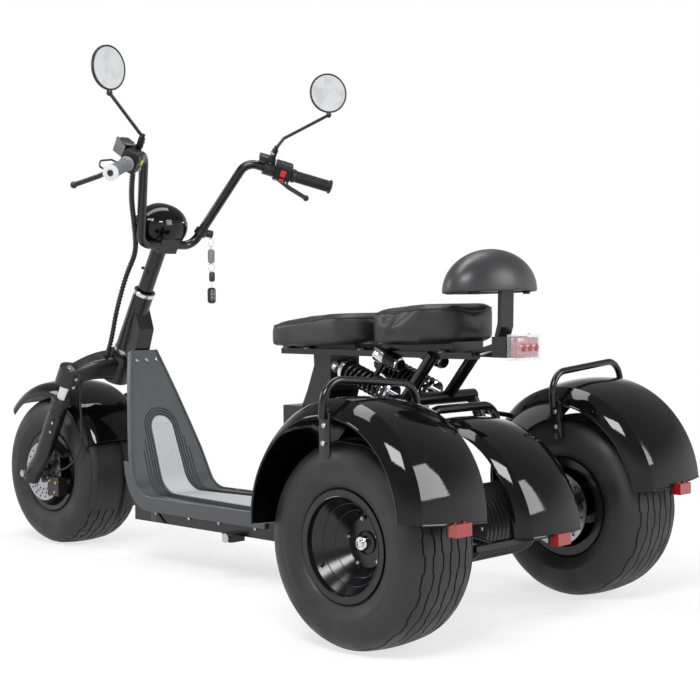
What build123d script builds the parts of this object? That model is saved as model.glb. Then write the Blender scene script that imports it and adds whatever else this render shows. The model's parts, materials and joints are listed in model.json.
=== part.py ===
"""Motorised three-wheeler: fat tyres, step-through floor, rider and pillion seats, three rear fenders.

Millimetres, +X forward, +Y to the rider's left, +Z up. Lengths along X are measured from the rear
axle while modelling, and export() moves everything so that the origin is on the ground, under the
centre of the whole vehicle. The steering assembly is drawn in its own plane: u forward, v left and
w up along the raked steering axis, from the axis's point at axle height.
"""
import math
import os

from build123d import *

# ---------------------------------------------------------------- driving dimensions
WHEELBASE = 1600.0
REAR_TRACK = 750.0
TYRE_RADIUS = 220.0
TYRE_WIDTH = 205.0
BEAD_RADIUS = 101.0          # tyre bead seat, an eight inch rim
BEAD_Y = 78.0                # from the wheel's middle plane to the tyre's bead face
LIP_RADIUS = 117.0
LIP_T = 8.0
RIM_WALL = 4.0
RAKE_DEG = 30.0
AXIS_LEAD = 49.0             # the steering axis passes axle height this far behind the front axle

RUNNING_GAP = 0.4            # round a shaft
WHEEL_GAP = 8.0              # between a wheel's side and fixed parts
BORE_GAP = 2.0               # round the rear half shafts
LAP = 1.5                    # how far two pieces reach into each other before one is cut back

AXLE_Z = TYRE_RADIUS
AXIS_X = WHEELBASE - AXIS_LEAD

# ---------------------------------------------------------------- wheels
HUB_R = 34.0
SHAFT_R = 15.0
SHAFT_OUT = 26.0             # rear half shaft beyond the wheel's middle plane
DISH_FLOOR = 14.0            # outer face of the rim's centre, from the wheel's middle plane
NUT_R = 14.0
DISC_T = 4.0
REAR_DISC_R = 90.0
REAR_DISC_OFFSET = 12.0      # inboard of the tyre's side
FRONT_DISC_R = 86.0
FRONT_DISC_V = 108.0
FRONT_HUB_V = 84.0
FRONT_AXLE_R = 8.0

# ---------------------------------------------------------------- front fork
FORK_V = 142.0               # half the distance between fork legs
FORK_U = 26.0                # stanchions ahead of the steering axis
LEG_R = 25.0
LEG_TOP_W = 228.0
STANCHION_R = 15.0
AXLE_OVERHANG = 12.0         # front axle beyond the leg's middle, past the leg's own radius
CROWN_W = 320.0              # underside of the fork crown at the axis
CROWN_H = 84.0
CROWN_R = 40.0
CROWN_END_W = 294.0          # underside of the crown's end clamps
CROWN_END_H = 50.0
CROWN_END_R = 34.0
SWING_W = 258.0              # the turning crown and fender are kept clear from here up
SWING_GAP = 24.0

HEAD_R = 29.0
HEAD_BORE_R = 21.0
HEAD_GAP = 6.0               # crown to head tube, and head tube to sleeve
HEAD_W1 = 612.0
STEM_R = 16.0
SLEEVE_R = 21.5

# ---------------------------------------------------------------- handlebar, measured from the clamp
CLAMP_W = 748.0
BAR_R = 12.5
BAR_U = -25.0
BAR_LOW = (-25.0, 90.0, 24.0)
BAR_HIGH = (-26.0, 178.0, 292.0)
BAR_TIP = (-173.0, 380.0, 298.0)
LEVER_POINTS = [(-58.0, 262.0, 272.0), (-70.0, 330.0, 240.0), (-76.0, 402.0, 214.0)]
LEVER_R = 6.5
LEVER_TIP_R = 9.0
GRIP_R = 17.0
GRIP_LENGTH = 118.0
SWITCH_AT = (122.0, 168.0)   # along the bar from its end
PERCH_AT = (172.0, 200.0)
PERCH_R = 20.0
MIRROR_LEFT = (-43.0, 380.0, 521.0)
MIRROR_RIGHT = (-35.0, -380.0, 526.0)
MIRROR_R = 56.0
MIRROR_T = 9.0
MIRROR_DOME = 6.0
STEM_BEND = (-49.0, 262.0, 382.0)
LAMP_AT = (24.0, 0.0, 56.0)
LAMP_SEMI = (60.0, 84.0, 64.0)
LENS_SEMI = (50.0, 74.0)
LAMP_PITCH_DEG = 84.0

# ---------------------------------------------------------------- shield and floor
SHIELD_T = 14.0
SKIRT_DEPTH = 36.0           # the floor's and shield's side walls
SKIRT_T = 8.0
FLOOR_Z = 190.0
FLOOR_HALF = 135.0
FLOOR_REAR_X = 600.0
SHIELD_TOP = (AXIS_X - 298.0, 581.0)
SHIELD_FOOT = (AXIS_X - 438.0, FLOOR_Z)
SHIELD_BEND_R = 70.0
MAT_T = 3.0
MAT_TOP_HALF = 36.0
MAT_FOOT_HALF = 42.0
MAT_REAR_HALF = 68.0
MAT_TOP_Z = 398.0
MAT_REAR_X = 652.0
RAIL_Z = 126.0               # underside of the floor rails
RAIL_W = 30.0
RAIL_Y = 112.0
TUBE_R = 14.0                # frame tubes

PLATE_HOLES_Y = (-35.0, 140.0)  # across the rear bar
PLATE_HOLE_R = 3.5
PLATE_BAR_X = -150.0

# ---------------------------------------------------------------- seat frame and suspension
CRADLE_Y = 165.0
CROSS_X = 180.0              # the tube that the shocks and struts end on
CROSS_Z = 488.0
CROSS_R = 16.0
PIVOT_X = 560.0
PIVOT_Z = 200.0
POST_HALF = 50.0
SHOCK_Y = 75.0
SHOCK_TOP = (390.0, 562.0)
SHOCK_COIL_R = 27.0

# ---------------------------------------------------------------- rear fenders
FENDER_HALF = 134.0
FENDER_R = 250.0
FENDER_T = 4.0
FENDER_SKIRT = 88.0
FENDER_X = -9.0
FENDER_Y = 398.0
FENDER_Z = 275.0
FENDER_FOOT_Z = 285.0
FENDER_FRONT_Z = 243.0
FENDER_TILT = 4.5            # outer side up
ARCH_R = 216.0               # the cut that the wheel shows through
ARCH_Z = 265.0
HANDLE_X = -8.0
HANDLE_R = 8.0
HANDLE_BEND = 50.0
HANDLE_GAP = 22.0            # between the crown and the bar's underside
MID_HALF = 118.0
MID_R = 265.0
MID_X = 55.0
MID_Z = 189.0
MID_ARCH_Z = 215.0
MID_FOOT_Z = 212.0
MID_HANDLE_R = 10.0
MID_HANDLE_X = 70.0
MID_HANDLE_GAP = 9.0
BOSS_R = 6.0
HANDLE_FOOT = 200.0          # above the crown's centre
MID_HANDLE_FOOT = 215.0
REFLECTOR = (27.0, 45.0, 26.0)
REFLECTOR_X = FENDER_X - FENDER_R - 2.0
CENTRE_X = (WHEELBASE + TYRE_RADIUS + REFLECTOR_X - REFLECTOR[0] / 2) / 2


def clear_of(shape, *others):
    """Cuts the solids that are already there out of a new one, so that they meet face to face."""
    for other in others:
        shape = shape - other
    return shape


def box(x0, x1, y0, y1, z0, z1):
    """An upright box between two corners."""
    size = (x1 - x0, y1 - y0, z1 - z0)
    centre = ((x0 + x1) / 2, (y0 + y1) / 2, (z0 + z1) / 2)
    return Pos(*centre) * Box(*size)


def rod(start, end, radius):
    """A round bar between two points."""
    a, b = Vector(*start), Vector(*end)
    plane = Plane(origin=a, z_dir=b - a)
    return extrude(plane * Circle(radius), (b - a).length)


def mirror_y(shape):
    """The same piece on the other side of the vehicle."""
    return mirror(shape, about=Plane.XZ)


def both_sides(shape):
    """A piece and its mirror image, as one node of two solids."""
    return Compound(children=[*shape.solids(), *mirror_y(shape).solids()])


def bent_bar(points, bend, radius):
    """A round bar along straight runs with one bend radius at every corner."""
    path = FilletPolyline(*points, radius=bend)
    plane = Plane(origin=path @ 0, z_dir=path % 0)
    return sweep(plane * Circle(radius), path=path)


def cord(points, radius):
    """A round cable: straight runs joined by arcs that take 0.45 of the shorter run each side."""
    knots = [Vector(*point) for point in points]
    runs = [b - a for a, b in zip(knots, knots[1:])]
    bends = []
    for before, after in zip(runs, runs[1:]):
        half_turn = math.radians(before.get_angle(after)) / 2
        bends.append(0.45 * min(before.length, after.length) / math.tan(half_turn))
    path = FilletPolyline(*knots, radius=bends)
    plane = Plane(origin=path @ 0, z_dir=path % 0)
    return sweep(plane * Circle(radius), path=path)


def stepped_rod(start, way, steps):
    """Cylinders along one line, each given as (from, to, radius)."""
    shape = None
    for d0, d1, radius in steps:
        piece = rod(tuple(start + way * d0), tuple(start + way * d1), radius)
        shape = piece if shape is None else shape + piece
    return shape


def turned(profile):
    """Turns a section drawn as X = radius, Y = along the axle, about the Y axis."""
    return revolve(profile, axis=Axis.Y)


def side_plate(points, half):
    """A plate across the vehicle, |y| up to half, with its outline drawn in side view as (x, z)."""
    return extrude(Plane.XZ * make_face(Polyline(*points, close=True)), half, both=True)


def steering_plane():
    """u forward, v left, w up along the steering axis."""
    lean = math.radians(RAKE_DEG)
    return Plane(
        origin=(AXIS_X, 0, AXLE_Z),
        x_dir=(math.cos(lean), 0, math.sin(lean)),
        z_dir=(-math.sin(lean), 0, math.cos(lean)),
    )


STEER = steering_plane()
AXLE_U, _, AXLE_W = STEER.to_local_coords(Vector(WHEELBASE, 0, AXLE_Z))


def at_steer(shape):
    """Places a piece drawn in u, v, w."""
    return STEER.location * shape


def above_clamp(point):
    """A point given from the handlebar clamp, in u, v, w."""
    u, v, w = point
    return Vector(u, v, CLAMP_W + w)


def column(u, v, w0, w1, radius):
    """An upright cylinder in the steering plane's own directions."""
    return Pos(u, v, (w0 + w1) / 2) * Cylinder(radius, w1 - w0)


# ---------------------------------------------------------------- wheels
def tyre_section():
    """Bead, bulging wall and crowned tread, one half mirrored."""
    half = TYRE_WIDTH / 2
    wall_r = (TYRE_RADIUS + BEAD_RADIUS) / 2
    tread_r = TYRE_RADIUS - 4.0
    tread_y = half - 40.0
    lip_r = LIP_RADIUS + 1.0
    shoulder = (TYRE_RADIUS - 21.0, half - 12.0)
    flank = (wall_r - 24.0, half - 6.5)
    edges = [
        ThreePointArc((tread_r, -tread_y), (TYRE_RADIUS, 0), (tread_r, tread_y)),
        ThreePointArc((tread_r, tread_y), shoulder, (wall_r, half)),
        ThreePointArc((wall_r, half), flank, (lip_r, BEAD_Y)),
        Line((lip_r, BEAD_Y), (BEAD_RADIUS, BEAD_Y)),
        Line((BEAD_RADIUS, BEAD_Y), (BEAD_RADIUS, -BEAD_Y)),
        Line((BEAD_RADIUS, -BEAD_Y), (lip_r, -BEAD_Y)),
        ThreePointArc((lip_r, -BEAD_Y), (flank[0], -flank[1]), (wall_r, -half)),
        ThreePointArc((wall_r, -half), (shoulder[0], -shoulder[1]), (tread_r, -tread_y)),
    ]
    return make_face(Wire(edges))


def tyre():
    return turned(tyre_section())


def rim(side):
    """Barrel and rolled lips with a stepped bowl on the left (side 1) or right (side -1)."""
    lip_y = BEAD_Y + LIP_T
    inner = BEAD_RADIUS - RIM_WALL
    hub_r = HUB_R - 4.0
    bowl = [(hub_r, DISH_FLOOR), (52, DISH_FLOOR), (69, 35), (85, 55), (100, 75), (104, lip_y)]
    back = [(inner, 64), (81, 49), (65, 29), (51, DISH_FLOOR - 6), (hub_r, DISH_FLOOR - 6)]
    outside = [(LIP_RADIUS, lip_y), (LIP_RADIUS, BEAD_Y), (BEAD_RADIUS, BEAD_Y), (BEAD_RADIUS, -BEAD_Y),
               (LIP_RADIUS, -BEAD_Y), (LIP_RADIUS, -lip_y), (inner, -lip_y)]
    points = [(r, side * y) for r, y in [*bowl, *outside, *back]]
    return turned(make_face(Polyline(*points, close=True)))


def disc(radius, y):
    return Pos(0, y, 0) * Rot(90, 0, 0) * Cylinder(radius, DISC_T)


def rear_wheel(side):
    """side is +1 on the left. The dish faces outwards and the half shaft points inwards."""
    disc_y = -side * (TYRE_WIDTH / 2 + REAR_DISC_OFFSET)
    hub = rod((0, disc_y - side * DISC_T, 0), (0, side * DISH_FLOOR, 0), HUB_R)
    shaft_y0 = -side * (REAR_TRACK / 2 - 175.0)
    shaft = rod((0, shaft_y0, 0), (0, side * (DISH_FLOOR + LAP), 0), SHAFT_R)
    axle_end = rod((0, side * DISH_FLOOR, 0), (0, side * SHAFT_OUT, 0), NUT_R)
    hub_bore = rod((0, -WHEELBASE, 0), (0, WHEELBASE, 0), HUB_R)
    brake = clear_of(disc(REAR_DISC_R, disc_y - side * DISC_T / 2), hub_bore)
    body = rim(side) + hub + shaft + axle_end
    place = Pos(0, side * REAR_TRACK / 2, AXLE_Z)
    return place * tyre(), place * body, place * brake


def front_wheel():
    bore = rod((0, -FORK_V, 0), (0, FORK_V, 0), FRONT_AXLE_R + RUNNING_GAP)
    hub = rod((0, -FRONT_HUB_V, 0), (0, FRONT_DISC_V - DISC_T / 2, 0), HUB_R)
    body = rim(1) + hub - bore
    brake = disc(FRONT_DISC_R, FRONT_DISC_V) - bore
    place = Pos(WHEELBASE, 0, AXLE_Z)
    return place * tyre(), place * body, place * brake


# ---------------------------------------------------------------- steering assembly
def crown_arm():
    """One arm of the crown, from the boss out and down to the end clamp."""
    mid_w = CROWN_W + CROWN_H / 2
    tip_w = CROWN_END_W + CROWN_END_H / 2
    sections = [
        Plane(origin=(6, 16, mid_w), z_dir=(0, 1, 0)) * RectangleRounded(72, 74, 16),
        Plane(origin=(12, 78, mid_w - 6), z_dir=(0, 1, 0)) * RectangleRounded(64, 60, 16),
        Plane(origin=(FORK_U, FORK_V, tip_w), z_dir=(0, 1, 0)) * RectangleRounded(54, 44, 14),
    ]
    return loft(sections)


def fork():
    """Crown with its stem, chromed stanchions, lower legs and the axle."""
    stem = column(0, 0, CROWN_W + CROWN_H, CLAMP_W - 16.0, STEM_R)
    boss = column(0, 0, CROWN_W, CROWN_W + CROWN_H, CROWN_R)
    end_top = CROWN_END_W + CROWN_END_H
    end = column(FORK_U, FORK_V, CROWN_END_W, end_top, CROWN_END_R)
    stanchion_top = end_top - 8.0
    half = crown_arm() + end - column(FORK_U, FORK_V, 0, stanchion_top, STANCHION_R)
    crown = stem + boss + half + mirror_y(half)
    stanchion = column(FORK_U, FORK_V, LEG_TOP_W - 40.0, stanchion_top, STANCHION_R)
    seal = column(FORK_U, FORK_V, LEG_TOP_W - 6.0, LEG_TOP_W + 8.0, LEG_R - 3.0)
    leg = column(FORK_U, FORK_V, 40.0, LEG_TOP_W, LEG_R) + seal
    shoe_r = LEG_R - 2.0
    foot_top = Plane(origin=(FORK_U, FORK_V, 42.0)) * Circle(LEG_R)
    foot_end = Plane(origin=(AXLE_U, FORK_V, AXLE_W + 10.0)) * Circle(shoe_r)
    shoe = column(AXLE_U, FORK_V, AXLE_W - 26.0, AXLE_W + 10.0, shoe_r)
    lower = at_steer(leg + loft([foot_top, foot_end]) + shoe - stanchion)
    axle_end = FORK_V + LEG_R - 2.0 + AXLE_OVERHANG
    axle = rod((WHEELBASE, -axle_end, AXLE_Z), (WHEELBASE, axle_end, AXLE_Z), FRONT_AXLE_R)
    spacer_in = FORK_V - LEG_R + 4.0
    spacer_r = FRONT_AXLE_R + 6.0
    collar = rod((WHEELBASE, FRONT_DISC_V + 3.0, AXLE_Z), (WHEELBASE, spacer_in, AXLE_Z), spacer_r)
    collar = collar + rod((WHEELBASE, -FRONT_HUB_V - 2.0, AXLE_Z), (WHEELBASE, -spacer_in, AXLE_Z), spacer_r)
    lowers = clear_of(both_sides(lower), axle)
    axle = clear_of(axle + collar, lowers)
    return {
        "fork_crown": at_steer(crown),
        "fork_stanchions": at_steer(both_sides(stanchion)),
        "fork_legs": lowers,
        "front_axle": axle,
    }


FRONT_FENDER_R = 268.0
FRONT_FENDER_HALF = 106.0
FRONT_FENDER_SKIRT = 46.0
FLAP_R = 247.0
FLAP_END_DEG = 204.0
FENDER_BACK_DEG = 158.0
FENDER_FRONT_DEG = 46.0


def wheel_arc(angle0, angle1, section, x, z):
    """Turns a section about a wheel's axle, from angle0 to angle1 above the horizontal, front first."""
    swept = revolve(section, axis=Axis.Y, revolution_arc=angle1 - angle0)
    return Pos(x, 0, z) * Rot(0, -angle1, 0) * swept


def arch_section(half, crown_r, edge_r, thickness, shoulder=0.72, drop=8.0):
    """An arched band: a shallow crown, rounded shoulders and short walls, of one thickness."""
    def outline(h, crown, edge):
        shoulder_y = h * shoulder
        shoulder_r = crown - drop
        mid_y = h - (h - shoulder_y) * 0.29
        mid_r = shoulder_r - (shoulder_r - edge) * 0.32
        return [
            ThreePointArc((edge, -h), (mid_r, -mid_y), (shoulder_r, -shoulder_y)),
            ThreePointArc((shoulder_r, -shoulder_y), (crown, 0), (shoulder_r, shoulder_y)),
            ThreePointArc((shoulder_r, shoulder_y), (mid_r, mid_y), (edge, h)),
        ]
    inner_half = half - thickness
    outer = outline(half, crown_r, edge_r)
    inner = outline(inner_half, crown_r - thickness, edge_r)
    closing = [Line((edge_r, -half), (edge_r, -inner_half)), Line((edge_r, half), (edge_r, inner_half))]
    return make_face(Wire([*outer, *inner, *closing]))


def wall_half(half, crown_r, edge_r, r, shoulder=0.72, drop=8.0):
    """Half width of an arched band's outside at a radius on its wall."""
    shoulder_y, shoulder_r = half * shoulder, crown_r - drop
    mid_y = half - (half - shoulder_y) * 0.29
    mid_r = shoulder_r - (shoulder_r - edge_r) * 0.32
    wall = ThreePointArc((shoulder_r, shoulder_y), (mid_r, mid_y), (edge_r, half))
    centre = wall.arc_center
    return centre.Y + math.sqrt(wall.radius ** 2 - (r - centre.X) ** 2)


def front_fender():
    edge_r = FRONT_FENDER_R - FRONT_FENDER_SKIRT
    band = arch_section(FRONT_FENDER_HALF, FRONT_FENDER_R, edge_r, 3.0)
    guard = wheel_arc(FENDER_FRONT_DEG, FENDER_BACK_DEG, band, WHEELBASE, AXLE_Z)
    flap_band = arch_section(FRONT_FENDER_HALF - 8.0, FLAP_R, FLAP_R - 20.0, 3.0)
    flap = wheel_arc(FENDER_BACK_DEG, FLAP_END_DEG, flap_band, WHEELBASE, AXLE_Z)
    stay_root = STEER.to_local_coords(Vector(WHEELBASE - 90.0, FORK_V, AXLE_Z + 152.0))
    stay_tip = STEER.to_local_coords(Vector(WHEELBASE - 120.0, FRONT_FENDER_HALF - 2.0, AXLE_Z + 220.0))
    stay = at_steer(rod(tuple(stay_tip), tuple(stay_root), 7.0))
    return guard, flap, both_sides(stay)


def handlebar():
    left = [tuple(above_clamp(point)) for point in (BAR_TIP, BAR_HIGH, BAR_LOW)]
    right = [(u, -v, w) for u, v, w in reversed(left)]
    bar = bent_bar([*left, *right], 42.0, BAR_R)
    block = Pos(-14, 0, CLAMP_W + BAR_LOW[2]) * Box(46, 64, 44)
    foot = column(0, 0, HEAD_W1 + HEAD_GAP, CLAMP_W + 4.0, SLEEVE_R)
    stem = column(0, 0, HEAD_W1, CLAMP_W - 16.0, STEM_R)
    return at_steer(bar), at_steer(clear_of(block + foot, bar, stem))


BAR_END = above_clamp(BAR_TIP)
GRIP_DIRECTION = (BAR_END - above_clamp(BAR_HIGH)).normalized()
GRIP_UP = GRIP_DIRECTION.cross(Vector(1, 0, 0)).normalized()


def along_grip(distance):
    """A point on the left grip's centre line, measured back from the bar's end."""
    return BAR_END - GRIP_DIRECTION * distance


def grip_plane(distance):
    """Across the bar, its own x upwards."""
    return Plane(origin=along_grip(distance), x_dir=GRIP_UP, z_dir=GRIP_DIRECTION)


def sleeve(d0, d1, radius, hole=BAR_R):
    return extrude(grip_plane(d1) * (Circle(radius) - Circle(hole)), d1 - d0)


def hand_controls():
    """Grips, switch boxes, brake levers and mirror stems, drawn on the left and mirrored."""
    grip = sleeve(0, GRIP_LENGTH, GRIP_R) + sleeve(0, 6.0, GRIP_R + 3.0)
    switch_face = Pos(-4, 2) * RectangleRounded(54, 46, 12) - Circle(BAR_R)
    switch = extrude(grip_plane(SWITCH_AT[1]) * switch_face, SWITCH_AT[1] - SWITCH_AT[0])
    perch = sleeve(*PERCH_AT, PERCH_R)
    perch_mid = (PERCH_AT[0] + PERCH_AT[1]) / 2
    root = along_grip(perch_mid) + Vector(26, 0, -4)
    blade = [tuple(above_clamp(point)) for point in LEVER_POINTS]
    lever = bent_bar([tuple(root), *blade], 20.0, LEVER_R)
    tip = Pos(*blade[-1]) * Sphere(LEVER_TIP_R)
    mount_plane = Plane(origin=along_grip(perch_mid) + Vector(24, 0, -3), z_dir=(1, 0, 0))
    mount = extrude(mount_plane * Rectangle(22, 20), 14, both=True)
    lever = lever + tip + clear_of(mount, sleeve(*PERCH_AT, PERCH_R, 0.1))
    return grip, switch, perch, lever


def mirror_stem(side, head_point):
    """An adjuster boot on the perch, a bent stem and a ball at the mirror's lower edge."""
    base = along_grip((PERCH_AT[0] + PERCH_AT[1]) / 2)
    foot = base + Vector(0, 0, PERCH_R - LAP)
    knee = base + Vector(0, 2, 62)
    bend = above_clamp(STEM_BEND)
    lean = Vector(math.sin(math.radians(RAKE_DEG)), 0, math.cos(math.radians(RAKE_DEG)))
    head = above_clamp((head_point[0], abs(head_point[1]), head_point[2])) - lean * (MIRROR_R + 6.0)
    stalk = bent_bar([tuple(foot), tuple(knee), tuple(bend), tuple(head)], 12.0, 4.5)
    up = (knee - foot).normalized()
    boot = stepped_rod(foot, up, [(0, 16, 7.0), (14, 40, 9.0), (38, 50, 6.5)])
    whole = clear_of(stalk + boot + Pos(*head) * Sphere(8.0), sleeve(*PERCH_AT, PERCH_R, 0.1))
    return whole if side > 0 else mirror_y(whole)


def mirror_head(point, turn):
    """A thin round shell with a domed back, and its glass, facing the rider; turn is about the vertical."""
    centre = Pos(*STEER.from_local_coords(above_clamp(point)))
    facing = Rot(0, 0, turn) * Rot(0, -90, 0)
    body = extrude(Circle(MIRROR_R), -MIRROR_T)
    body = fillet(body.edges().sort_by(Axis.Z)[0], MIRROR_DOME)
    glass = extrude(Circle(MIRROR_R - 3.0), -2.5)
    return centre * facing * (body - glass), centre * facing * glass


def headlight():
    """Oval housing in front of the clamp, with its lens."""
    centre = STEER.from_local_coords(above_clamp(LAMP_AT))
    depth, half_width, half_height = LAMP_SEMI
    place = Pos(*centre) * Rot(0, LAMP_PITCH_DEG, 0)
    front = depth * 0.62
    keep = Pos(0, 0, front - half_width) * Box(2 * depth + 80, 3 * half_width, 2 * half_width)
    shell = (scale(Sphere(1.0), (half_height, half_width, depth))) & keep
    lens_face = Plane(origin=(0, 0, front - 4.0)) * Ellipse(*LENS_SEMI)
    lens = place * extrude(lens_face, 8.0)
    return place * shell - lens, lens


def key_set():
    """Ignition lock on the right riser, with the keys hanging from it."""
    right_low = above_clamp((BAR_LOW[0], -BAR_LOW[1], BAR_LOW[2]))
    right_high = above_clamp((BAR_HIGH[0], -BAR_HIGH[1], BAR_HIGH[2]))
    up = (right_high - right_low).normalized()
    ring_at = right_low + up * 36.0
    ring = rod(tuple(ring_at), tuple(ring_at + up * 18.0), BAR_R + 5.0)
    barrel = rod(tuple(ring_at + up * 9.0), tuple(ring_at + up * 9.0 + Vector(-12, -32, 0)), 11.0)
    lock = at_steer(ring + barrel)
    x, y, z = STEER.from_local_coords(ring_at + up * 9.0 + Vector(-12, -28, 0))
    chain = box(x - 1.5, x + 1.5, y - 1.5, y + 1.5, z - 150, z)
    remote = box(x - 4, x + 4, y - 11, y + 11, z - 72, z - 30)
    tag = box(x - 3, x + 3, y - 13, y + 9, z - 126, z - 96)
    fob = box(x - 6, x + 6, y - 12, y + 12, z - 186, z - 140)
    return lock, chain + remote + tag + fob


BUNDLE_R = 6.0
BUNDLE_ROUTE = [(-58, 228, 1024), (-30, 178, 915), (-7, 110, 806), (1, 75, 734), (30, 58, 640),
                (24, 55, 530), (8, 53, 450), (4, 52, 384)]
BRAKE_HOSE_R = 3.0
BRAKE_HOSE_ROUTE = [(5, 112, 322), (-20, 116, 262), (-75, 122, 205), (-105, 126, 140), (-80, 128, 75),
                    (-40, 125, 35), (-40, 121, 0)]
CALIPER_AT = (-72.0, FRONT_DISC_V + 3.0, -38.0)
CALIPER_SIZE = (54.0, 30.0, 54.0)


def front_caliper():
    """Straddles the disc behind the left leg."""
    x, y, z = CALIPER_AT
    caliper = Pos(WHEELBASE + x, y, AXLE_Z + z) * Box(*CALIPER_SIZE)
    slot = Pos(WHEELBASE, FRONT_DISC_V, AXLE_Z) * Rot(90, 0, 0) * Cylinder(FRONT_DISC_R + 6.0, DISC_T + 10.0)
    return caliper - slot


def steering_nodes():
    nodes = fork()
    crown, legs = nodes["fork_crown"], nodes["fork_legs"]
    guard, flap, stays = front_fender()
    nodes["front_fender"] = guard
    nodes["mud_flap"] = flap
    nodes["front_fender_stays"] = clear_of(stays, guard, legs)
    bar, clamp = handlebar()
    nodes["handlebar"] = bar
    nodes["handlebar_clamp"] = clamp
    light, lens = headlight()
    nodes["headlight_housing"] = clear_of(light, bar, clamp, crown)
    nodes["headlight_lens"] = clear_of(lens, bar, clamp)
    grip, switch, perch, lever = hand_controls()
    nodes["grips"] = at_steer(both_sides(grip))
    nodes["switch_left"] = at_steer(switch)
    nodes["switch_right"] = at_steer(mirror_y(switch))
    perches = at_steer(both_sides(perch))
    levers = at_steer(both_sides(lever))
    nodes["lever_perches"] = perches
    nodes["brake_levers"] = clear_of(levers, perches, bar, nodes["switch_left"], nodes["switch_right"])
    left_shell, left_glass = mirror_head(MIRROR_LEFT, 8.0)
    right_shell, right_glass = mirror_head(MIRROR_RIGHT, -22.0)
    left_stem = at_steer(mirror_stem(1, MIRROR_LEFT))
    right_stem = at_steer(mirror_stem(-1, MIRROR_RIGHT))
    left_stem = clear_of(left_stem, left_shell, left_glass)
    right_stem = clear_of(right_stem, right_shell, right_glass)
    nodes["mirror_stems"] = Compound(children=[*left_stem.solids(), *right_stem.solids()])
    nodes["mirror_shells"] = Compound(children=[*left_shell.solids(), *right_shell.solids()])
    nodes["mirror_glasses"] = Compound(children=[*left_glass.solids(), *right_glass.solids()])
    u, v, w = along_grip(PERCH_AT[0])
    tank = box(u + 10, u + 54, v - 4, v + 32, w - 2, w + 32)
    nodes["lever_reservoir"] = clear_of(at_steer(tank), bar, perches, levers, nodes["switch_left"], left_stem)
    lock, keys = key_set()
    nodes["ignition_lock"] = clear_of(lock, bar)
    nodes["key_set"] = clear_of(keys, nodes["ignition_lock"])
    nodes["front_caliper"] = clear_of(front_caliper(), legs)
    bundle = at_steer(cord(BUNDLE_ROUTE, BUNDLE_R))
    nodes["cable_bundle"] = clear_of(bundle, perches, bar, crown, nodes["headlight_housing"])
    hose = at_steer(cord(BRAKE_HOSE_ROUTE, BRAKE_HOSE_R))
    nodes["brake_hose"] = clear_of(hose, crown, nodes["front_caliper"])
    return nodes


# ---------------------------------------------------------------- frame
def shield_path(offset=0.0):
    """Points of the shield and floor in side view, offset towards the front and below."""
    (tx, tz), (fx, fz) = SHIELD_TOP, SHIELD_FOOT
    lean = math.atan2(tx - fx, tz - fz)
    ox, oz = offset * math.cos(lean), -offset * math.sin(lean)
    corner_x = fx + ox + (fz - offset - (fz + oz)) * math.tan(lean)
    return [(tx + ox, tz + oz), (corner_x, fz - offset), (FLOOR_REAR_X, fz - offset)]


def side_profile(offset0, offset1):
    """The band between two offsets of the shield's side view."""
    rear_edge = FilletPolyline(*shield_path(offset0), radius=SHIELD_BEND_R - offset0)
    front_edge = FilletPolyline(*shield_path(offset1), radius=SHIELD_BEND_R + offset1)
    closing = [Line(rear_edge @ 0, front_edge @ 0), Line(rear_edge @ 1, front_edge @ 1)]
    return Plane.XZ * make_face(Wire([*rear_edge.edges(), *front_edge.edges(), *closing]))


# half width of the shield and floor: (height, half width)
SHIELD_OUTLINE = [(FLOOR_Z - 60, FLOOR_HALF), (250, 132), (300, 124), (368, 107), (455, 84), (520, 65), (600, 40)]


def leg_shield():
    """Shield and floor in one moulding, with a skirt along the floor and round the bend."""
    band = extrude(side_profile(0, SHIELD_T), FLOOR_HALF, both=True)
    skirt = extrude(side_profile(0, SKIRT_DEPTH), FLOOR_HALF, both=True)
    inside = FLOOR_HALF - SKIRT_T
    middle = box(0, WHEELBASE, -inside, inside, 0, SHIELD_TOP[1] + SHIELD_T)
    points = [(y, z) for z, y in SHIELD_OUTLINE]
    outline = Polyline(*points, *[(-y, z) for y, z in reversed(points)], close=True)
    front_view = extrude(Plane.YZ * make_face(outline), WHEELBASE)
    return (band + clear_of(skirt, middle)) & front_view


def floor_mat():
    """The inset pad: an arch on the shield, widening along the floor."""
    band = extrude(side_profile(-MAT_T, 0), MAT_REAR_HALF, both=True)
    arch_z = MAT_TOP_Z - MAT_TOP_HALF
    low_z = FLOOR_Z + MAT_T + 0.2
    upper = [
        Line((-MAT_FOOT_HALF, low_z), (-MAT_TOP_HALF, arch_z)),
        ThreePointArc((-MAT_TOP_HALF, arch_z), (0, MAT_TOP_Z), (MAT_TOP_HALF, arch_z)),
        Line((MAT_TOP_HALF, arch_z), (MAT_FOOT_HALF, low_z)),
        Line((MAT_FOOT_HALF, low_z), (-MAT_FOOT_HALF, low_z)),
    ]
    arch = extrude(Plane.YZ * make_face(Wire(upper)), WHEELBASE)
    lower = box(0, WHEELBASE, -MAT_REAR_HALF, MAT_REAR_HALF, FLOOR_Z - 1, low_z)
    wide_x, narrow_x = MAT_REAR_X + 60.0, SHIELD_FOOT[0] - 60.0
    rear = [(MAT_REAR_X, MAT_REAR_HALF), (wide_x, MAT_REAR_HALF), (narrow_x, MAT_FOOT_HALF)]
    plan_points = [*rear, (WHEELBASE, MAT_FOOT_HALF)]
    outline = Polyline(*plan_points, *[(x, -y) for x, y in reversed(plan_points)], close=True)
    plan = extrude(make_face(outline), SHIELD_TOP[1])
    return band & (arch + lower) & plan


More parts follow.
